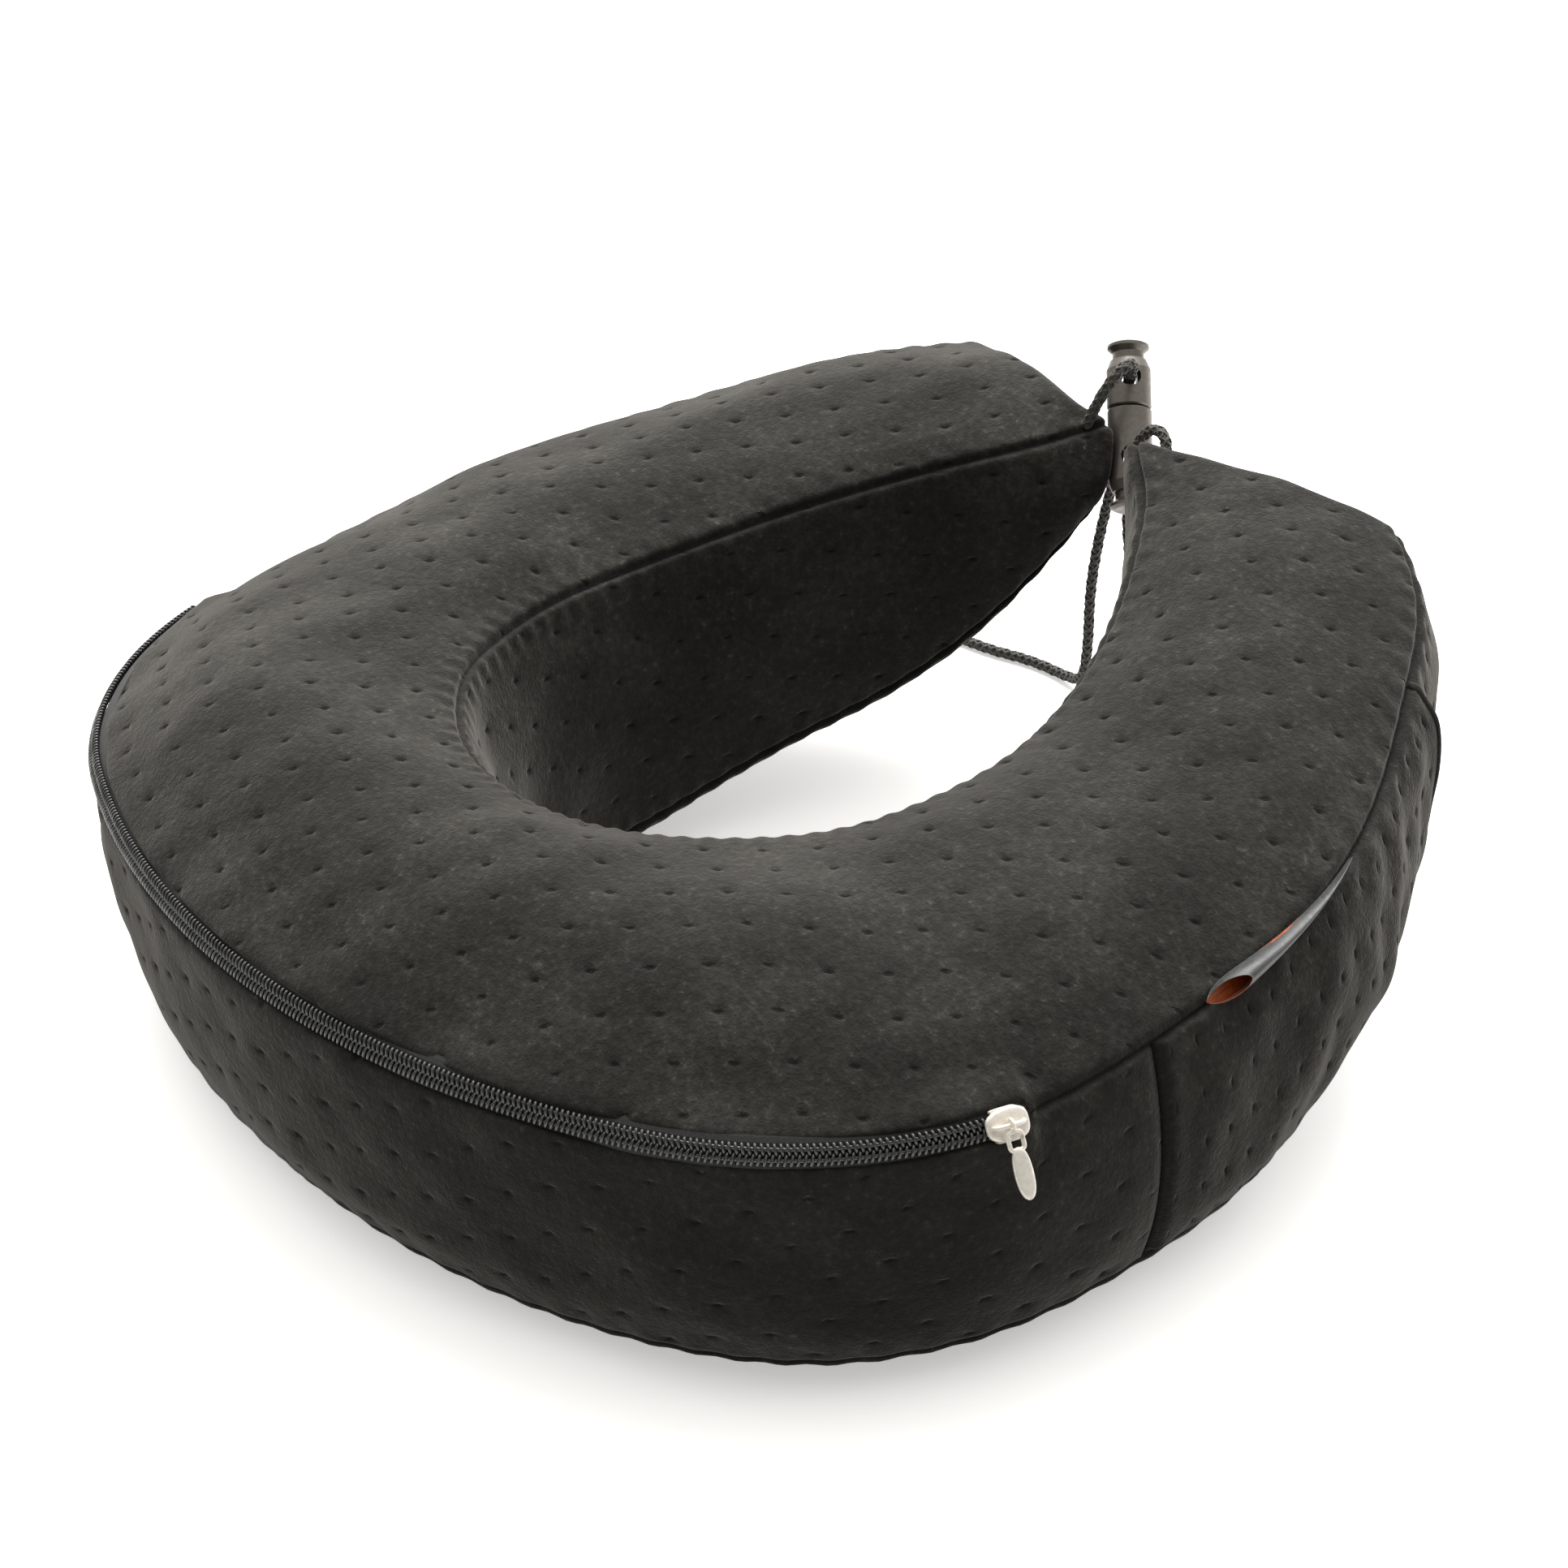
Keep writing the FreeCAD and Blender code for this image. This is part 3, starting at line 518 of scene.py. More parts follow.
def section_marks(row):
    """Six corners and six mid points of one section, in space."""
    outer, inner, top_out, top_in, low_out, low_in, under_out, under_in, crown, flare = row
    outer, inner = np.array(outer, float), np.array(inner, float)
    width = np.linalg.norm(outer - inner)
    corners = np.array([
        (width, top_out), (flare, top_in), (0, low_in), (FLAT_SHARE * width, under_in),
        ((1 - FLAT_SHARE) * width, under_out), (width - SIDE_TUCK, low_out),
    ], float)
    swells = np.array([crown, NECK_BULGE, 2.2, 0.0, 1.6, SIDE_BULGE])[:, None]
    ahead = np.roll(corners, -1, 0)
    run = unit(ahead - corners)
    middles = (corners + ahead) / 2 + np.stack([run[:, 1], -run[:, 0]], -1) * swells
    marks = np.vstack([corners, middles])
    share = marks[:, :1] / width
    return np.hstack([inner + (outer - inner) * share, marks[:, 1:]])


def mirrored(row):
    return ((-row[0][0], row[0][1]), (-row[1][0], row[1][1]), *row[2:])


ROWS = HALF[::-1] + [mirrored(row) for row in HALF[1:]]
MARKS = np.array([section_marks(row) for row in ROWS]) + MOVE
ridge = MARKS[:, [0, 1], :2].mean(1)
KNOTS = distances(ridge)
print("middle of the arm is", round(KNOTS[-1]), "mm long")


# %% [markdown]
# Between the stations a natural cubic curve is used: it passes through every station and has no
# kinks. Along each side of a section the cloth is an arc, known from its two ends and its middle.

# %% Sections anywhere along the arm


def curve_through(knots, values, where):
    """Natural cubic curve through values at the knots."""
    count, gap = len(knots), np.diff(knots)
    system, right = np.eye(count), np.zeros_like(values)
    for i in range(1, count - 1):
        system[i, i - 1 : i + 2] = gap[i - 1], 2 * (gap[i - 1] + gap[i]), gap[i]
        right[i] = 6 * ((values[i + 1] - values[i]) / gap[i] - (values[i] - values[i - 1]) / gap[i - 1])
    bend = np.linalg.solve(system, right)
    cell = np.clip(np.searchsorted(knots, where) - 1, 0, count - 2)
    before = ((knots[cell + 1] - where) / gap[cell])[:, None]
    after = 1 - before
    ease = (before**3 - before) * bend[cell] + (after**3 - after) * bend[cell + 1]
    return before * values[cell] + after * values[cell + 1] + ease * gap[cell][:, None] ** 2 / 6


def marks_at(where):
    flat = curve_through(KNOTS, MARKS.reshape(len(MARKS), -1), where)
    return flat.reshape(len(where), 12, 3)


def arc_points(start, middle, end, share):
    """Points of the arcs from start to end through middle, at shares of their length."""
    half = np.linalg.norm(end - start, axis=1)[:, None] / 2
    centre = (start + end) / 2
    rise = np.maximum(np.linalg.norm(middle - centre, axis=1)[:, None], 1e-4)
    radius = (half**2 + rise**2) / (2 * rise)
    turn = (2 * share[None] - 1) * 2 * np.arctan(rise / half)
    along, up = radius * np.sin(turn), radius * np.cos(turn) - radius + rise
    chord, bulge = unit(end - start)[:, None], unit(middle - centre)[:, None]
    return centre[:, None] + chord * along[..., None] + bulge * up[..., None]


def sides_at(where, sides):
    """The chosen sides of each section as one closely sampled line."""
    marks = marks_at(where)
    share = np.linspace(0, 1, 33)
    lines = [arc_points(marks[:, s], marks[:, 6 + s], marks[:, (s + 1) % 6], share) for s in sides]
    return np.concatenate([lines[0]] + [line[:, 1:] for line in lines[1:]], axis=1), marks[:, :6].mean(1)


def line_length(line):
    """Length of each section's line."""
    return np.linalg.norm(np.diff(line, axis=1), axis=2).sum(1)


# %% [markdown]
# A cushion cover isn't a clean loft. The cloth rolls in at every seam, rises in soft lumps
# between them, puckers a little along the thread and sinks where the needles pinned it. Beside
# the zip it is folded double, and the cords draw the corners of both fronts towards the locks.
# Each of these is one short function that moves the points of a panel, in millimetres.

# %% What seams, stuffing and pins do to the cloth
SEAM_DEPTH, SEAM_REACH, SEAM_SHADE = 1.9, 1.25, 0.7
TIP_ROUND = 3.5
FOLD_START, FOLD_HEIGHT, FOLD_LIP, FOLD_WIDTH = 2.25, 1.9, 0.35, 7.5
ZIP_FADES = (75.7, 78.2)
DRAWN_CORNERS = (((8.0, -112.0, 98.0), (1.0, -6.0, 0.0)), ((-8.0, -112.0, 98.0), (5.5, 0.0, 2.6)))
DRAWN_REACH = 11.0
SLIT_DEPTH, HOLLOW_DEPTH, HOLLOW_REACH = 0.6, 0.2, 3.0
EDGE_ROWS = np.array([0, 0.2, 0.4, 0.65, 0.95, 1.3, 1.75, 2.4, 3.2])


def smooth(x, low, high):
    t = np.clip((x - low) / (high - low), 0, 1)
    return t * t * (3 - 2 * t)


def lumps(points):
    """Slow unevenness of the stuffing, the same for every panel at the same place."""
    draw = np.random.default_rng(7)
    total = np.zeros(points.shape[:-1])
    for wave, size in ((70, 0.55), (44, 0.42), (29, 0.3), (18, 0.16)):
        for _ in range(4):
            direction = unit(draw.normal(size=3))
            total += size * 0.5 * np.sin(points @ direction * 2 * math.pi / wave + draw.uniform(0, 6.3))
    return total


def zip_zone(seam_point):
    """1 where the zip runs along the seam, 0 past its ends."""
    side = seam_point - MOVE
    heading = np.degrees(np.arctan2(np.abs(side[..., 0]) - CORNER_X, side[..., 1] - CORNER_Y))
    heading = np.where((np.abs(side[..., 0]) < NAPE_HALF) & (side[..., 1] > 0), 0.0, heading)
    heading = np.where(side[..., 1] < CORNER_Y - 40, 180.0, np.abs(heading))
    return 1 - smooth(heading, *ZIP_FADES)


def zip_fold(distance):
    """Height of the doubled cloth beside the chain, against the distance from the seam."""
    past = np.maximum(distance - FOLD_START, 0)
    return FOLD_HEIGHT * (1 - np.exp(-past / FOLD_LIP)) * np.exp(-((past / FOLD_WIDTH) ** 2))


def round_tip(points, centre, where):
    """Shrink the last few sections towards their middle, as a quarter circle."""
    left = np.minimum(where, KNOTS[-1] - where)
    inset = TIP_ROUND - np.sqrt(np.maximum(TIP_ROUND**2 - np.maximum(TIP_ROUND - left, 0) ** 2, 0))
    factor = 1 - inset / np.linalg.norm(points - centre[:, None], axis=2).mean(1)
    return centre[:, None] + (points - centre[:, None]) * factor[:, None, None]


def drawn(points):
    """The cords draw the upper inner corner of each front towards the locks."""
    for corner, pull in DRAWN_CORNERS:
        away = np.linalg.norm(points - MOVE - np.array(corner), axis=-1)
        points = points + np.exp(-((away / DRAWN_REACH) ** 2))[..., None] * np.array(pull)
    return points


def pin_depth(lattice):
    """Depth of the dimples, from lattice coordinates with a pin in the middle of each unit square."""
    cell = np.floor(lattice)
    local = (lattice - cell - 0.5) * np.array([PIN_ACROSS, PIN_ALONG])
    hashed = np.sin(cell[..., 0] * 127.1 + cell[..., 1] * 311.7) * 43758.5
    strength = 0.65 + 0.5 * (hashed - np.floor(hashed))
    x, y = local[..., 0], local[..., 1]
    slit = np.exp(-((x / 1.2) ** 2) - (y / 0.8) ** 2)
    hollow = np.exp(-(x**2 + y**2) / HOLLOW_REACH**2)
    return strength * (SLIT_DEPTH * slit + HOLLOW_DEPTH * hollow)


def wavered(lattice):
    """The needled rows aren't ruled: they drift by about a millimetre."""
    a, b = lattice[..., 0], lattice[..., 1]
    return np.stack([
        a + 0.1 * np.sin(b * 0.9 + 1.1) + 0.05 * np.sin(b * 2.3),
        b + 0.1 * np.sin(a * 0.8) + 0.05 * np.sin(a * 1.9),
    ], -1)


# %% [markdown]
# ### A panel of the cover
# One function makes every panel. It spaces the points closely near both seams, where the
# cloth turns sharply, and evenly in between. Then it rounds the tips, adds the lumps, dimples
# and seam rolls, and stores each point's place in the needle lattice and its nearness to a seam.

# %% The panel maker
CLOTH_STEP = 0.92
NO_SEAM = 99
PUCKER_HEIGHT, PUCKER_WAVE = 0.22, 8.3
TABLE_GAP = 0.15


def surface_normals(points, centre):
    normal = unit(np.cross(np.gradient(points, axis=0), np.gradient(points, axis=1)))
    outward = np.sum(normal * (points - centre[:, None]), axis=2)
    return normal * np.where(np.median(outward) < 0, -1, 1)


def cloth_places(width, first, step):
    """Distances across the panel: close at both edges and even between them."""
    count = max(3, int(np.median(width) / step))
    inner = np.linspace(0, 1, count + 2)[1:-1]
    low, high = first + EDGE_ROWS[-1], width - EDGE_ROWS[-1]
    even = low[:, None] + (high - low)[:, None] * inner
    return np.hstack([first[:, None] + EDGE_ROWS, even, (width[:, None] - EDGE_ROWS)[:, ::-1]])


def panel_grid(where, sides, step, zip_edge=None, seam_ends=(False, False)):
    """Points, normals and distances of a panel with lumps and seam rolls, but no dimples yet."""
    line, centre = sides_at(where, sides)
    line = round_tip(line, centre, where)
    width = line_length(line)
    if zip_edge == "last":
        line = line[:, ::-1]
    zone = zip_zone(line[:, 0]) if zip_edge else np.zeros(len(where))
    places = cloth_places(width, FOLD_START * zone, step)
    points = np.array([points_along(row, at) for row, at in zip(line, places)])
    normal = surface_normals(points, centre)
    near, far = places, width[:, None] - places
    from_start = where - where[0] + NO_SEAM * (not seam_ends[0])
    from_end = where[-1] - where + NO_SEAM * (not seam_ends[1])
    edge = np.minimum(near + NO_SEAM * zone[:, None], far)
    edge = np.minimum(edge, np.minimum(from_start, from_end)[:, None])
    roll = SEAM_DEPTH * np.exp(-((edge / SEAM_REACH) ** 2))
    wave = np.sin(where * 2 * math.pi / PUCKER_WAVE + 2 * np.sin(where / 31))[:, None]
    pucker = PUCKER_HEIGHT * wave * np.exp(-((edge - 3.5) / 3) ** 2)
    rise = lumps(points) * smooth(edge, 1.5, 16) + pucker + zip_fold(near) * zone[:, None]
    points = points + normal * rise[..., None] + unit(centre[:, None] - points) * roll[..., None]
    return {
        "points": points, "normal": normal, "places": places, "width": width,
        "edge": edge, "centre": centre, "line": line,
    }


def pin_down(grid, lattice):
    """Sink the dimples into a panel and keep its lattice for the shader."""
    grid["pins"] = wavered(lattice)
    depth = pin_depth(grid["pins"]) * smooth(grid["edge"], 1.5, 5)
    grid["points"] = drawn(grid["points"] - grid["normal"] * depth[..., None])
    return grid


def set_seam_painted_shade(piece, edge):
    """How close each point is to a seam, from 1 on it to 0 a few millimetres away; the velour paints shade
    into the cloth by it.
    """
    near = piece.data.attributes.new("seam", "FLOAT", "POINT")
    near.data.foreach_set("value", np.exp(-edge.ravel() / SEAM_SHADE))


def set_pins(piece, pins):
    """Each point's place in the needle lattice, as a UV map."""
    layer = piece.data.uv_layers.new(name="pins")
    corner = np.zeros(len(piece.data.loops), int)
    piece.data.loops.foreach_get("vertex_index", corner)
    layer.data.foreach_set("uv", pins.reshape(-1, 2)[corner].ravel())


def facing_out(quads, points, normal):
    """Turn the faces round if they look into the pillow."""
    flat, away = points.reshape(-1, 3), normal.reshape(-1, 3)
    a, b, c = (flat[quads[:, k]] for k in range(3))
    same = np.sum(np.cross(b - a, c - a) * away[quads[:, 0]], axis=1).sum() > 0
    return quads if same else quads[:, ::-1]


def sew(name, grids):
    """One cover piece from one or more grids."""
    points, pins, faces, edges, start = [], [], [], [], 0
    for grid in grids:
        rows, columns = grid["points"].shape[:2]
        quads = facing_out(grid_quads(rows, columns), grid["points"], grid["normal"])
        faces.append(quads + start)
        points.append(grid["points"].reshape(-1, 3))
        pins.append(grid["pins"].reshape(-1, 2))
        edges.append(grid["edge"].ravel())
        start += rows * columns
    points = np.vstack(points)
    points[:, 2] = np.maximum(points[:, 2], TABLE_GAP)
    piece = add_mesh(name + "_cloth", points * MM, np.vstack(faces).tolist(), COVER)
    set_pins(piece, np.vstack(pins))
    set_seam_painted_shade(piece, np.concatenate(edges))
    dress(piece, "pillow", "velour", name)
    print(name, len(points), "points")


# %% [markdown]
# ### Top panel
# The top is one U of cloth, so its needle lattice runs straight across the whole piece. Laying
# the panel flat for the lattice takes only two facts: where the neck seam is in plan, and how
# far over the crown a point lies from it.

# %% Top panel
TOP_ROW = np.array([-0.685, -0.729])
TOP_COLUMN = np.array([-0.900, 0.437])


def in_lattice(flat, row, column):
    """Flat millimetres as lattice coordinates."""
    return flat @ np.linalg.inv(np.stack([row * PIN_ACROSS, column * PIN_ALONG]))


def top_panel():
    where = np.linspace(0, KNOTS[-1], int(KNOTS[-1] / CLOTH_STEP))
    grid = panel_grid(where, [0], CLOTH_STEP, "first")
    neck, outer = grid["line"][:, -1, :2], grid["line"][:, 0, :2]
    over = grid["width"][:, None] - grid["places"]
    flat = neck[:, None] + unit(outer - neck)[:, None] * over[..., None]
    return pin_down(grid, in_lattice(flat, TOP_ROW, TOP_COLUMN))


sew("cover_top_panel", [top_panel()])

# %% [markdown]
# ### Neck, wall and bottom panels
# These are long strips, so their lattice is simply the distance along the seam and the
# distance up the strip, turned a little because cutters lay strips on the cloth to save it.
# The walls of the arms are cut square: their needles are in level rows, closer together along
# each row, and the slits stand upright.

# %% Strips
STRIP_ROW = unit(np.array([10.9, 4.2]))
STRIP_COLUMN = unit(np.array([10.2, -9.6]))
WALL_ROW = np.array([0.0, -1.0])
WALL_COLUMN = np.array([0.62, 0.0])
BOTTOM_STEP = 1.7


def strip_lattice(grid, row=STRIP_ROW, column=STRIP_COLUMN):
    edge = grid["line"][:, 0]
    run = np.broadcast_to(distances(edge)[:, None], grid["places"].shape)
    flat = np.stack([run, -grid["places"]], -1)
    return in_lattice(flat, row, column)


def strip(start, end, sides, step=CLOTH_STEP, zip_edge=None, seam_ends=(False, False), lattice=()):
    where = np.linspace(start, end, int((end - start) / step))
    grid = panel_grid(where, sides, step, zip_edge, seam_ends)
    return pin_down(grid, strip_lattice(grid, *lattice))


def side_wall(start, end, seam_ends):
    """The outer wall of an arm."""
    return strip(start, end, [5], CLOTH_STEP, "last", seam_ends, (WALL_ROW, WALL_COLUMN))


NAPE_START, NAPE_END = KNOTS[5], KNOTS[13]
sew("cover_neck_panel", [strip(0, KNOTS[-1], [1])])
sew("cover_nape_wall", [strip(NAPE_START, NAPE_END, [5], CLOTH_STEP, "last", (True, True))])
sew("cover_bottom_panel", [strip(0, KNOTS[-1], [2, 3, 4], BOTTOM_STEP)])

# %% [markdown]
# ### Side walls and blunt fronts
# Each side wall turns the corner at its tip and closes the front of the arm, so the wall and
# the front are one piece of cloth. The front is a dome over the last section, made of rings
# that shrink towards its middle. Its rim laps a little past the seam, so no light gets in.

# %% Side walls
FRONT_SWELL = 3.0
RIM_LAP = 1.0
FRONT_RINGS = 26
FRONT_STEP = 1.6


def front_grid(at_start):
    """Points of the domed front at one end of the U."""
    where = np.array([0.0 if at_start else KNOTS[-1]])
    line, centre = sides_at(where, range(6))
    rim = evenly(round_tip(line, centre, where)[0], FRONT_STEP)
    rim = rim + unit(rim - centre) * (np.maximum(lumps(rim), 0) + RIM_LAP)[:, None]
    across = unit(rim[0, :2] - centre[0, :2])
    ahead = np.array([across[1], -across[0], 0.0]) * (1 if rim[0, 0] > 0 else -1)
    ahead = ahead * (1 if ahead[1] < 0 else -1)
    ring = np.linspace(0, 1, FRONT_RINGS)[:, None, None]
    edge = (1 - ring) * np.linalg.norm(rim - centre, axis=1)[None, :, None]
    stuffing = lumps(centre[0] + (rim - centre) * ring)[..., None] * smooth(edge, 1.5, 14)
    swell = FRONT_SWELL * (1 - ring**2) + stuffing - SEAM_DEPTH * np.exp(-((edge / SEAM_REACH) ** 2))
    points = centre[0] + (rim - centre)[None] * ring + ahead * swell
    flat = np.stack([(points - centre[0]) @ np.array([across[0], across[1], 0.0]), points[..., 2]], -1)
    grid = {"points": points, "normal": np.broadcast_to(ahead, points.shape), "edge": edge[..., 0]}
    return pin_down(grid, in_lattice(flat, STRIP_ROW, STRIP_COLUMN))


sew("cover_left_wall", [side_wall(0, NAPE_START, (False, True)), front_grid(True)])
sew("cover_right_wall", [side_wall(NAPE_END, KNOTS[-1], (True, False)), front_grid(False)])

# %% [markdown]
# ## Zip
# A coil zip is a stiff nylon thread wound into a flat spiral and sewn to the edge of each tape.
# The slanted ribs that show are the turns of the two spirals. A spiral is easy to work out, so
# each side is one real helix of 1.3 mm pitch, flattened, and the two mirror each other. The
# chain leans back a little as it follows the seam, since the cloth above it rolls over.

# %% Places along the zip
ZIP_LEAN = math.radians(29)
NAPE_RUN = NAPE_RADIUS * MEET
ZIP_END_RUN = NAPE_RUN + (math.radians(75.2) - MEET) * CORNER_RADIUS
COIL_PITCH = 1.3
COIL_OUT, COIL_HALF_WIDTH, COIL_HALF_HEIGHT, COIL_WIRE = 1.06, 1.04, 0.55, 0.36
COIL_FACE = 1.78
STEPS_A_TURN = 12
CORD_OUT, CORD_FACE, CORD_THICK = 1.1, 1.6, 0.5
TAPE_SECTION = np.array([(0.1, 0.3), (5.0, -0.9), (5.0, -0.6), (3.4, 0.3), (2.3, 0.75), (0.1, 0.85)])


def on_zip(run, along, out):
    """Points at a distance along the chain from the nape, up the zip's face and out of it."""
    run, along, out = np.broadcast_arrays(np.asarray(run, float), along, out)
    bent = np.maximum(np.abs(run) - NAPE_RUN, 0) / CORNER_RADIUS
    heading = np.sign(run) * (np.minimum(np.abs(run), NAPE_RUN) / NAPE_RADIUS + bent)
    away = np.stack([np.sin(heading), np.cos(heading), 0 * heading], -1)
    seam = np.array([outline(h) for h in heading.ravel()]).reshape(*heading.shape, 2)
    base = np.concatenate([seam, np.full((*heading.shape, 1), ZIP_SEAM)], -1) + MOVE
    rise, tilt = math.cos(ZIP_LEAN), math.sin(ZIP_LEAN)
    up = np.array([0, 0, rise]) - away * tilt
    face = np.array([0, 0, tilt]) + away * rise
    return base + up * along[..., None] + face * out[..., None]


def zip_strip(name, side):
    """Woven tape from beside the chain to well under the folded cloth."""
    run = np.linspace(-ZIP_END_RUN - 1, ZIP_END_RUN + 1, 320)[:, None]
    points = on_zip(run, side * TAPE_SECTION[:, 0], TAPE_SECTION[:, 1])
    faces = grid_quads(len(run), len(TAPE_SECTION), wrap=True).tolist()
    piece = add_mesh(name + "_woven", points * MM, faces, TAPE, smooth=False)
    dress(piece, "pillow", "zip_tape", name)


def zip_coil(name, side):
    """One spiral of the chain, with the cord that runs inside it."""
    turns = 2 * ZIP_END_RUN / COIL_PITCH
    turn = np.arange(0, turns, 1 / STEPS_A_TURN) * 2 * math.pi + (0 if side > 0 else math.pi)
    run = np.linspace(-ZIP_END_RUN, ZIP_END_RUN, len(turn))
    across = COIL_OUT + COIL_HALF_WIDTH * np.cos(turn)
    wound = on_zip(run, side * across, COIL_FACE - COIL_HALF_HEIGHT * np.sin(turn))
    inside = on_zip(run[::10], side * CORD_OUT, CORD_FACE)
    points, faces = joined([tube(wound, COIL_WIRE, 6), tube(inside, CORD_THICK, 6)])
    dress(add_mesh(name + "_wound", points * MM, faces, COIL), "pillow", "zip_coil", name)
    return int(turns)


for half, side in (("upper", 1), ("lower", -1)):
    zip_strip(f"zip_tape_{half}", side)
    print(half, "coil has", zip_coil(f"zip_coil_{half}", side), "turns")

# %% [markdown]
# ### Slider and pull
# The slider is a small die casting: a shield-shaped plate, two lips that guide the coils and a
# bridge for the pull. A cast plate has no sharp edge anywhere, so it is built like a pebble:
# the same outline at several heights, drawn in a little at the top and the bottom. Each level
# below is a pair: how far the outline is drawn in, and how high it lies over the seam.

# %% Slider and pull
SLIDER_RUN = -(NAPE_RUN + (math.radians(73) - MEET) * CORNER_RADIUS)
BRIDGE = 5.9
PLATE_LEVELS = [
    (2.6, 2.75), (0.25, 2.75), (0, 3.0), (0, 3.7), (0.2, 3.95), (0.6, 4.08), (1.5, 4.2), (2.6, 4.25)
]
LIP_LEVELS = [(0.3, 1.25), (0, 1.45), (0, 3.1)]
STRAP_HALF = [(-3.3, 3.9), (-3.15, 5.0), (-2.5, 5.75), (-1.2, 5.95)]
TAB_LEVELS = [(1.2, -0.5), (0.25, -0.5), (0, -0.25), (0, 0.25), (0.25, 0.5), (0.7, 0.62), (1.3, 0.66)]
CLIP_LEVELS = [(0.3, -0.9), (0, -0.7), (0, -0.1), (0.3, 0.1), (0.7, 0.15)]


def pebble(outline_points, levels):
    """A rounded plate: rings of the outline drawn in by so much at each height."""
    flat = np.asarray(outline_points, float)
    middle = flat.mean(0)
    inward = unit(middle - flat)
    rings = [np.column_stack([flat + inward * drawn_in, np.full(len(flat), z)]) for drawn_in, z in levels]
    return np.vstack(rings), capped(len(rings), len(flat))


def oval(half_x, half_y, power, centre=(0, 0), count=28):
    """Outline of a rounded oblong: the higher the power, the squarer it is."""
    turn = np.linspace(0, 2 * math.pi, count, endpoint=False)
    c, s = np.cos(turn), np.sin(turn)
    return np.column_stack([
        centre[0] + half_x * np.sign(c) * np.abs(c) ** (2 / power),
        centre[1] + half_y * np.sign(s) * np.abs(s) ** (2 / power),
    ])


def shield():
    """Plan of the plate: broad at the mouth and narrow where the closed chain leaves."""
    flat = oval(4.6, 3.5, 2.9, count=36)
    flat[:, 1] *= 1 - 0.13 * smooth(-flat[:, 0], -1.0, 4.6)
    return flat


def from_slider(points):
    """Local slider millimetres (x along the chain, y up its face, z out) into the frame."""
    x, y, z = np.asarray(points, float).T
    origin = on_zip(np.array([SLIDER_RUN]), 0.0, 0.0)[0]
    up = on_zip(np.array([SLIDER_RUN]), 1.0, 0.0)[0] - origin
    face = on_zip(np.array([SLIDER_RUN]), 0.0, 1.0)[0] - origin
    along = np.cross(up, face)
    return origin + x[:, None] * along + y[:, None] * up + z[:, None] * face


def slider():
    """Plate, two lips and the strap that the pull hangs on."""
    lips = [pebble(oval(2.8, 0.45, 4, (0, y)), LIP_LEVELS) for y in (-3.0, 3.0)]
    strap = [(x, 0, z) for x, z in STRAP_HALF] + [(-x, 0, z) for x, z in STRAP_HALF[::-1]]
    return joined([pebble(shield(), PLATE_LEVELS), *lips, tube(strap, 0.55, 10)])


def pull_tab():
    """Ring round the bridge, a pierced link and a long oval tab."""
    turn = np.linspace(0, 2 * math.pi, 25)
    eye = np.column_stack([0 * turn, 1.25 * np.cos(turn), BRIDGE + 1.25 * np.sin(turn)])
    link_line = oval(1.55, 1.9, 4.5, (0, -3.2), 32)
    link_line = np.vstack([link_line, link_line[:2]])
    link = tube(np.column_stack([link_line, np.full(len(link_line), BRIDGE)]), 0.52, 10)
    tab = pebble(oval(2.0, 5.4, 2.3, (0, -9.9), 40), [(drawn_in, BRIDGE + z) for drawn_in, z in TAB_LEVELS])
    return joined([tube(eye, 0.38, 8), link, tab])


def end_stops():
    """Two crimped clips that close the chain, under the cloth at either end of it."""
    clip, skin = pebble(oval(0.9, 2.1, 4), CLIP_LEVELS)
    x, y, z = clip.T
    points, faces = joined([(on_zip(end * (ZIP_END_RUN + 1.4) + x, y, z), skin) for end in (-1, 1)])
    dress(add_mesh("zip_end_clips", points * MM, faces, NICKEL_PAINTED_HIGHLIGHT), "pillow", "zip_metal", "zip_end_stops")


end_stops()
for name, (points, faces) in (("zip_slider", slider()), ("zip_pull", pull_tab())):
    piece = add_mesh(name + "_cast", from_slider(points) * MM, faces, NICKEL_PAINTED_HIGHLIGHT)
    piece.data.set_sharp_from_angle(angle=math.radians(40))
    dress(piece, name, "zip_metal", name)
    print(name, len(faces), "faces")

# %% [markdown]
# ## Side pocket
# The pocket is one layer sewn to the right wall along its top, back and bottom, and stretched
# over it. So it is made from the wall's own grid, lifted: by the thickness of the cloth at the
# seams, by a soft, slight slack between them, and a little more where its free front edge
# gapes. It has two faces and cut edges, and a rolled hem lies along its mouth.

# %% A layer of cloth with two faces
POCKET_END = KNOTS[16]
POCKET_CLOTH, HEM_RADIUS = 1.1, 1.25


def two_faced(points, normal, thickness):
    """A closed sheet: the outer face, the inner face below it and the cut edges."""
    rows, columns = points.shape[:2]
    outer, inner = points.reshape(-1, 3), (points - normal * thickness).reshape(-1, 3)
    quads = facing_out(grid_quads(rows, columns), points, normal)
    under = quads[:, ::-1] + len(outer)
    index = np.arange(rows * columns).reshape(rows, columns)
    loop = np.concatenate([index[0, :], index[1:, -1], index[-1, -2::-1], index[-2:0:-1, 0]])
    ahead = np.roll(loop, -1)
    rim = np.column_stack([loop, loop + len(outer), ahead + len(outer), ahead])
    return np.vstack([outer, inner]), [quads, under, rim]


def folds(across, along):
    """Height of the slack, from 0 to 1 across the pocket and in millimetres along it."""
    slant = along / 19 + 1.1 * across + 0.25 * np.sin(along / 17 + 2)
    fine = along / 10.5 - 0.7 * across + 0.2 * np.sin(across * 9)
    deep = 1.5 * np.sin(2 * math.pi * slant) + 0.7 * np.sin(2 * math.pi * fine + 1)
    return deep + 0.8 * np.sin(2 * math.pi * (0.9 * across + along / 46))


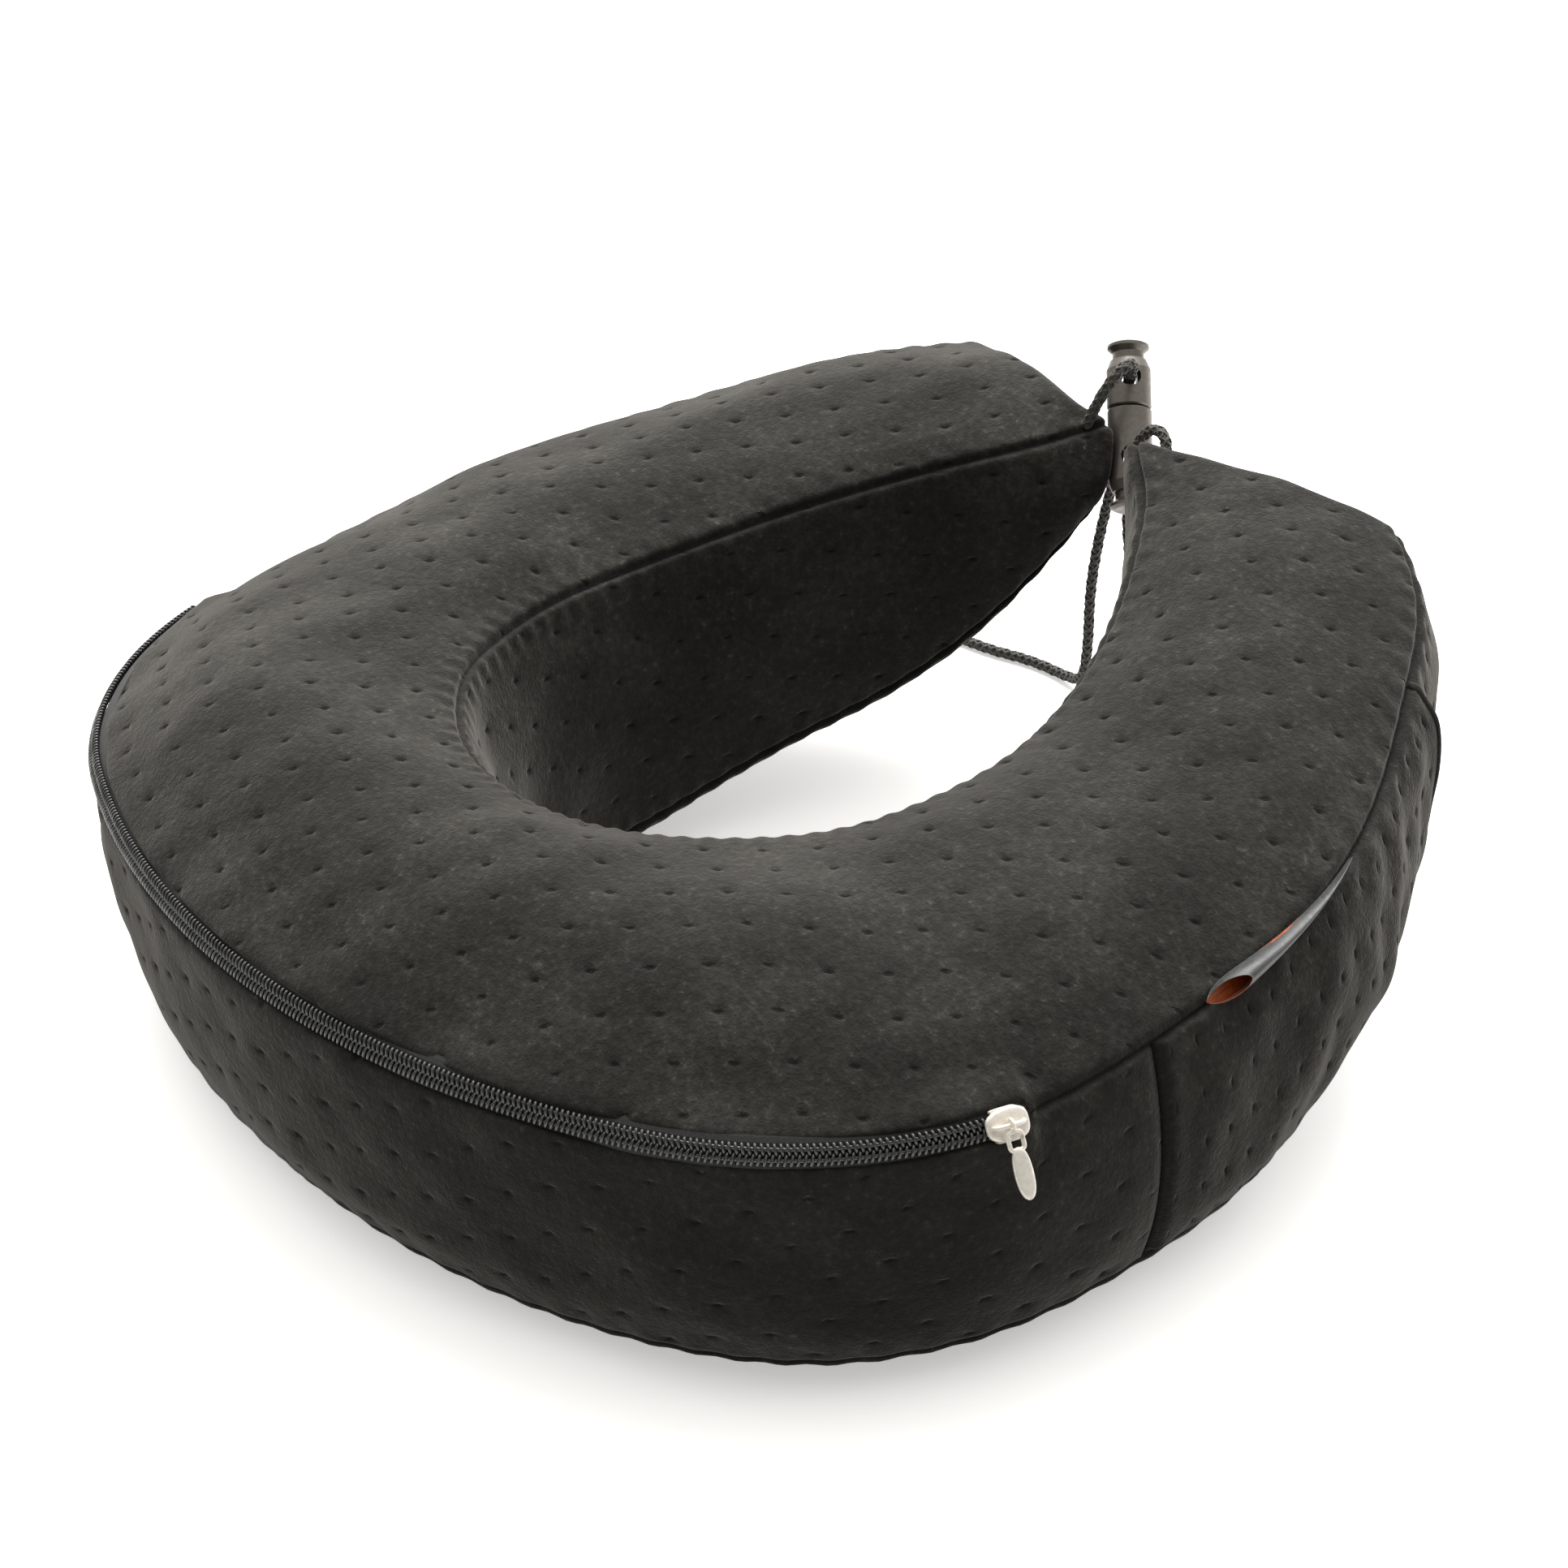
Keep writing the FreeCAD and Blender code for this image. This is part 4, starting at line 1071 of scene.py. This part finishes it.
def pocket_grid():
    """The wall's own grid from the upright seam to the mouth, lifted by the slack."""
    where = np.linspace(NAPE_END, POCKET_END, 170)
    grid = panel_grid(where, [5], 0.95, "last", (True, False))
    across = grid["places"] / grid["width"][:, None]
    along = (where - where[0])[:, None]
    from_seams = np.minimum(grid["places"], grid["width"][:, None] - grid["places"])
    slack = smooth(from_seams, 0.5, 11) * smooth(along, 0.5, 13)
    gape = smooth(along, along[-1] - 34, along[-1]) * np.sin(math.pi * np.clip(across, 0, 1)) ** 0.6
    gather = 0.12 * np.sin(along * 2 * math.pi / 12.5 + across * 5) * smooth(from_seams, 1, 5) * (1 - slack)
    lift = 0.35 + slack * (1.2 + 0.2 * folds(across, along)) + gather + 2.2 * gape
    grid["points"] = grid["points"] + grid["normal"] * np.maximum(lift, 0.3)[..., None]
    grid["normal"] = surface_normals(grid["points"], grid["centre"])
    return pin_down(grid, strip_lattice(grid, WALL_ROW, WALL_COLUMN))


def make_pocket():
    grid = pocket_grid()
    points, groups = two_faced(grid["points"], grid["normal"], POCKET_CLOTH)
    piece = add_mesh("side_pocket_cloth", points * MM, np.vstack(groups).tolist(), COVER)
    set_pins(piece, np.concatenate([grid["pins"].reshape(-1, 2)] * 2))
    set_seam_painted_shade(piece, np.concatenate([grid["edge"].ravel()] * 2))
    dress(piece, "pillow", "velour", "side_pocket")
    hem_points, hem_faces = tube(grid["points"][-1] - grid["normal"][-1] * POCKET_CLOTH / 2, HEM_RADIUS, 12)
    hem = add_mesh("pocket_hem_roll", hem_points * MM, hem_faces, HEM_VELOUR)
    dress(hem, "pillow", "hem_tape", "pocket_hem")
    size = [np.linalg.norm(np.diff(grid["points"], axis=k), axis=2).sum(k).mean() * MM for k in (0, 1)]
    print("pocket cut about", [round(s, 3) for s in size])


make_pocket()

# %% [markdown]
# ## Label
# A satin ribbon folded lengthwise and caught in the seam by both edges, so its section is a
# closed loop. The back end is cut slantwise and stands open, so the rust inside shows there,
# and the loop narrows and closes towards the front. The ribbon has rolled over in two narrow
# places along the fold, where a glint of rust comes through.

# %% Folded label
LABEL_BACK, LABEL_FRONT = 9.0, -43.0
LABEL_LEAN = math.radians(28)
LABEL_WIDTH, LABEL_OPEN, LABEL_SLANT = 5.2, 6.2, 9.0
LABEL_LINING, RIBBON = 0.5, 0.22


def label_grid(inset):
    """The loop of ribbon, drawn in by an inset for its inner face."""
    where = np.linspace(NAPE_END, POCKET_END, 400)
    seam = marks_at(where)[:, 0]
    y = seam[:, 1] - MOVE[1]
    run = np.linspace(LABEL_BACK, LABEL_FRONT, 70)
    base = np.stack([np.interp(-run, -y, seam[:, k]) for k in range(3)], -1)
    ahead = unit(np.gradient(base, axis=0))
    away = unit(np.cross(ahead, (0, 0, 1)))
    away = away * np.where(away[:, :1] > 0, -1, 1)
    out = away * math.cos(LABEL_LEAN) + np.array([0, 0, math.sin(LABEL_LEAN)])
    up = np.array([0, 0, math.cos(LABEL_LEAN)]) - away * math.sin(LABEL_LEAN)
    q = np.linspace(0, 1, len(run))[:, None]
    turn = np.linspace(-0.499, 1.499, 44)[None] * math.pi
    bulge = np.maximum(np.sin(turn), 0) ** 0.8
    skew = LABEL_SLANT * (1 - q) ** 3 * bulge
    past = np.minimum(q + skew / (LABEL_BACK - LABEL_FRONT), 1)
    width = LABEL_WIDTH * (1 - 0.8 * past**1.5) + 0.4 * np.sin(past * 9) - inset
    open_by = 0.3 + LABEL_OPEN * (1 - np.exp(-past / 0.06)) * (1 - past) ** 1.6 - inset * past**0.3
    reach = 0.4 + inset * (np.sin(turn) < 0) + width * bulge
    rise = 0.5 + 0.5 * open_by * -np.cos(turn) + 0.35 * np.sin(q * 7 + 1) * bulge
    return (
        base[:, None] + out[:, None] * reach[..., None]
        + up[:, None] * rise[..., None] + ahead[:, None] * skew[..., None]
    )


def make_label():
    outer = label_grid(0.0)
    rows, columns = outer.shape[:2]
    normal = unit(outer - label_grid(LABEL_LINING) + 1e-9)
    points, groups = two_faced(outer, normal, RIBBON)
    piece = add_mesh("side_label_ribbon", points * MM, np.vstack(groups).tolist(), LABEL_OUT)
    piece.data.materials.append(LABEL_IN)
    along, round_it = np.divmod(np.arange(len(groups[0])), columns - 1)
    rolled = np.zeros(len(groups[0]), bool)
    for middle, reach, side in ((0.45, 0.13, 0.73), (0.74, 0.08, 0.30)):
        rolled |= (along / rows - middle) ** 2 / reach**2 + (round_it / columns - side) ** 2 / 0.03**2 < 1
    inside = rolled.astype(int).tolist() + [1] * (len(groups[1]) + len(groups[2]))
    piece.data.polygons.foreach_set("material_index", inside)
    dress(piece, "pillow", "label_satin", "side_label")
    girth = line_length(outer).mean() * MM
    length = np.linalg.norm(np.diff(outer[:, columns // 2], axis=0), axis=1).sum() * MM
    print("label ribbon", round(girth, 4), "by", round(length, 4), "m")


make_label()

# %% [markdown]
# ## Cord locks
# The barrels and buttons are right in the design file, so they stay and only get rounded edges
# and the gunmetal finish. Only the springs are stand-ins there, so real wire replaces them. A
# spring shortens as its button goes in; here each is wound along the lock's own axis at one fixed length.

# %% Locks and springs
LOCK_RING = np.array([13.3, -126.5, 97.5]) + MOVE
LOCK_AXIS = unit(np.array(joints["clasp_release"]["axis"], float))
EYE_AXIS = np.array([0.586, -0.421, -0.692])
UPPER_EYE, LOWER_EYE = 7.3, 12.8
SPRING_FREE, SPRING_PRESSED = 2.7, 0.9
SPRING_TURNS, SPRING_RADIUS, SPRING_WIRE = 3.4, 2.2, 0.3
EDGE_ROUND = 0.00025


def soften(node):
    """Rounded edges and a finish for a solid that stays."""
    solid = frame["nodes"][node]
    solid.data.materials.clear()
    solid.data.materials.append(LOCK)
    edge = solid.modifiers.new("rounded", "BEVEL")
    edge.width, edge.segments, edge.limit_method, edge.angle_limit = EDGE_ROUND, 2, "ANGLE", math.radians(35)
    edge.use_clamp_overlap = True


def lock_spring(name, floor, sign, body):
    """A few turns of wire between the floor of the bore and the plunger."""
    turn = np.linspace(0, SPRING_TURNS * 2 * math.pi, 110)
    side = unit(EYE_AXIS - LOCK_AXIS * (EYE_AXIS @ LOCK_AXIS))
    other = np.cross(LOCK_AXIS, side)
    height = sign * (floor + 0.38 + (SPRING_FREE - 0.7) * turn / turn[-1])
    wound = side * np.cos(turn)[:, None] + other * np.sin(turn)[:, None]
    points, faces = tube(LOCK_RING + LOCK_AXIS * height[:, None] + SPRING_RADIUS * wound, SPRING_WIRE, 8)
    piece = add_mesh(name + "_wire", points * MM, faces, STEEL)
    dress(piece, body, "spring_steel", name)
    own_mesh(piece)


for part in ("upper_lock_barrel", "lower_lock_barrel", "upper_lock_button", "lower_lock_button"):
    soften(part)
lock_spring("upper_lock_spring", 1.4, 1, "upper_lock")
lock_spring("lower_lock_spring", 6.9, -1, "pillow")
print("locks dressed")

# %% [markdown]
# ## Cords
# Each arm ends in a soft 3 mm braided cord. It leaves the seam at the tip, runs through its
# lock, hangs down the front and lies on the table to its knot. The route is a NURBS curve
# through listed points; the braid follows points read back from that curve: eight strands,
# four each way, that pass over and under each other. The left cord has one end on the pillow
# and the other in the upper lock, so it is left in place on neither body.

# %% Routes of the two cords
CORD = 3.0
ROUTE_STEP = 0.42
BRAID_CORE, BRAID_LAY, BRAID_RISE, BRAID_STRAND = CORD / 2 - 0.42, 9.0, 0.1, 0.34
KNOT_SIZE, KNOT_CORD = 0.56, 1.3
EYE_UP, EYE_LOW = LOCK_RING - MOVE + LOCK_AXIS * UPPER_EYE, LOCK_RING - MOVE - LOCK_AXIS * LOWER_EYE
LEFT_ROUTE = [
    (14.5, -113.2, 97.5), (12.5, -115.5, 104), (10.4, -118.6, 109.6), (9.6, -123, 112.6),
    (11.2, -126.6, 110.2), EYE_UP - EYE_AXIS * 7, EYE_UP + EYE_AXIS * 9.5, (28, -138, 84), (33, -139, 68),
    (38, -138, 51), (41, -136.5, 34), (42, -136, 17), (45, -136.5, 5), (54, -139, 1.6),
    (67, -138.5, 1.6), (81, -134, 1.6), (93, -133, 1.6),
]
RIGHT_ROUTE = [
    (-12.5, -114, 94.5), (-9.5, -118, 101.5), (-2.5, -118.5, 101.5), EYE_LOW - EYE_AXIS * 8.5,
    EYE_LOW + EYE_AXIS * 8.5, (17.5, -128.5, 69), (19, -130, 54), (19, -133, 39), (18, -138, 24),
    (15, -143, 10), (8, -148, 1.6), (-4, -151, 1.6), (-17, -149, 1.6), (-28, -152, 1.6),
]


def smooth_route(name, route):
    """Evenly spaced millimetre points along the NURBS curve whose control points are the route."""
    curve = bpy.data.curves.new(name, "CURVE")
    curve.dimensions, curve.resolution_u = "3D", 24
    line = curve.splines.new("NURBS")
    line.points.add(len(route) - 1)
    for point, place in zip(line.points, route):
        point.co = (*((np.array(place) + MOVE) * MM), 1)
    line.order_u = 3
    line.use_endpoint_u = True
    guide = bpy.data.objects.new(name, curve)
    bpy.context.scene.collection.objects.link(guide)
    read = bpy.data.meshes.new_from_object(guide)
    dense = np.array([v.co for v in read.vertices]) / MM
    bpy.data.objects.remove(guide)
    bpy.data.meshes.remove(read)
    return evenly(dense, ROUTE_STEP), distances(dense)[-1]


def braid(path):
    """Eight strands wound on a core, each rising and dipping as it crosses the others."""
    _, side, up = path_frames(path)
    run = distances(path)
    parts = [tube(path, BRAID_CORE, 10)]
    for hand in (1, -1):
        for strand in range(4):
            turn = hand * run / BRAID_LAY * 2 * math.pi + strand * math.pi / 2 + (0.4 if hand < 0 else 0)
            weave = hand * np.sin(run / BRAID_LAY * 8 * math.pi + strand * math.pi)
            reach = BRAID_CORE + BRAID_RISE * weave
            place = path + side * (reach * np.cos(turn))[:, None] + up * (reach * np.sin(turn))[:, None]
            parts.append(tube(place, BRAID_STRAND, 6))
    return joined(parts)


def knot(end, ahead):
    """Overhand knot: a trefoil of the same cord, pulled tight, with a short cut end."""
    turn = np.linspace(0, 2 * math.pi, 90)
    loop = KNOT_SIZE * np.column_stack([
        np.sin(turn) + 2 * np.sin(2 * turn), np.cos(turn) - 2 * np.cos(2 * turn), -1.3 * np.sin(3 * turn)
    ])
    centre = end + unit(ahead) * 2.4
    centre[2] = max(centre[2], 3.0)
    flat = np.array([loop[:, 2], loop[:, 0], loop[:, 1]]).T
    stub = np.array([centre + unit(ahead) * t + np.array([0, 0, -0.2 * t]) for t in np.linspace(1.2, 6.5, 8)])
    return joined([tube(centre + flat, KNOT_CORD, 10), tube(stub, np.linspace(KNOT_CORD, 1.45, 8), 10)])


def make_cord(name, route, nodes, body, knot_body):
    """One braided cord with its stopper knot."""
    path, length = smooth_route(name + "_route", route)
    points, faces = braid(path)
    piece = add_mesh(name, points * MM, faces, CORD_YARN)
    knot_points, knot_faces = knot(path[-1], path[-1] - path[-6])
    ball = add_mesh(name + "_knot", knot_points * MM, knot_faces, CORD_YARN)
    dress(ball, knot_body, "cord_braid", f"cord_{name.split('_')[0]}_knot")
    if body == knot_body:
        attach(piece, body)
    else:
        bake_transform(piece)
    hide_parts(*nodes)
    print(name, "is", round(length, 1), "mm long")


make_cord("left_cord", LEFT_ROUTE, ("cord_left_lead", "cord_left_tail"), "pillow", "upper_lock")
make_cord("right_cord", RIGHT_ROUTE, ("cord_right",), "pillow", "pillow")

# %% [markdown]
# ## Filling
# Under the cover lie the liner and the foam core. They don't show, but an export of the model
# carries them, so each is a real closed form drawn in from the cover, with its own finish.

# %% Foam core and liner
LINER_DEPTH, FOAM_DEPTH = 3.6, 4.4


def inner_form(name, depth, node, finish, slot_name):
    """A closed form at a depth under the cover."""
    where = np.linspace(depth, KNOTS[-1] - depth, 150)
    line, centre = sides_at(where, range(6))
    line = round_tip(line, centre, where)
    ring = line[:, :-1:3]
    ring = ring + unit(centre[:, None] - ring) * depth
    piece = add_mesh(name, ring * MM, capped(*ring.shape[:2]), finish)
    dress(piece, "pillow", slot_name, node)
    return piece


inner_form("liner_sock", LINER_DEPTH, "foam_liner", LINER, "liner_jersey")
core = inner_form("foam_block", FOAM_DEPTH, "foam_core", FOAM, "memory_foam")
print("filling made")

# %% [markdown]
# ## Light and floor
# The pillow stands on white in a bright soft tent. One large lamp hangs beyond the open front,
# and the surround is bright on that side and above, and dim on the zip's side. So the crown of
# the cloth catches a soft light and the walls below the zip stay dark. The floor glows faintly,
# which keeps it white under the pillow, and it throws no light of its own onto the cloth.
# The plain "Standard" view shows the colours as they are worked out, without a film curve.

# %% Studio
FLOOR_GLOW, FLOOR_REACH = 0.45, 30
TENT_BRIGHT = unit(np.array([0.45, -0.5, 0.75]))
TENT_STOPS = ((0.15, (0.125, 0.125, 0.12, 1)), (1.0, (1, 0.985, 0.96, 1)))
TENT_STRENGTH = 2.7
KEY_PLACE, KEY_SIZE, KEY_POWER = (0.45, -0.6, 1.1), 0.9, 17


def key_lamp():
    """One large square lamp that looks at the middle of the pillow."""
    light = bpy.data.lights.new("key", "AREA")
    light.size, light.energy = KEY_SIZE, KEY_POWER
    lamp = bpy.data.objects.new("key", light)
    bpy.context.scene.collection.objects.link(lamp)
    lamp.location = KEY_PLACE
    lamp.rotation_euler = (AIM - Vector(KEY_PLACE)).to_track_quat("-Z", "Y").to_euler()


def tent():
    """A surround that is bright above and beyond the open front and dim on the zip's side."""
    world = bpy.data.worlds.new("tent")
    world.use_nodes = True
    nodes, links = world.node_tree.nodes, world.node_tree.links
    facing = nodes.new("ShaderNodeVectorMath")
    facing.operation = "DOT_PRODUCT"
    facing.inputs[1].default_value = TENT_BRIGHT
    links.new(nodes.new("ShaderNodeTexCoord").outputs["Generated"], facing.inputs[0])
    wall = nodes.new("ShaderNodeValToRGB")
    for element, (at, colour) in zip(wall.color_ramp.elements, TENT_STOPS):
        element.position, element.color = at, colour
    links.new(facing.outputs["Value"], wall.inputs["Fac"])
    links.new(wall.outputs["Color"], nodes["Background"].inputs["Color"])
    nodes["Background"].inputs["Strength"].default_value = TENT_STRENGTH
    bpy.context.scene.world = world


def white_floor():
    white = Finish("floor_white", (0.9, 0.9, 0.9), 0.6)
    white.shader.inputs["Emission Color"].default_value = (1, 0.99, 0.97, 1)
    white.shader.inputs["Emission Strength"].default_value = FLOOR_GLOW
    white.rough(white.ramp(white.noise(20), [(0.3, (0.55,) * 3), (0.7, (0.65,) * 3)]))
    corners = np.array([(-1, -1, 0), (1, -1, 0), (1, 1, 0), (-1, 1, 0)]) * FLOOR_REACH
    floor = add_mesh("floor", corners, [(0, 1, 2, 3)], white.material)
    floor.visible_diffuse = False


tent()
key_lamp()
white_floor()
bpy.context.scene.view_settings.view_transform = "Standard"
print("studio lit")
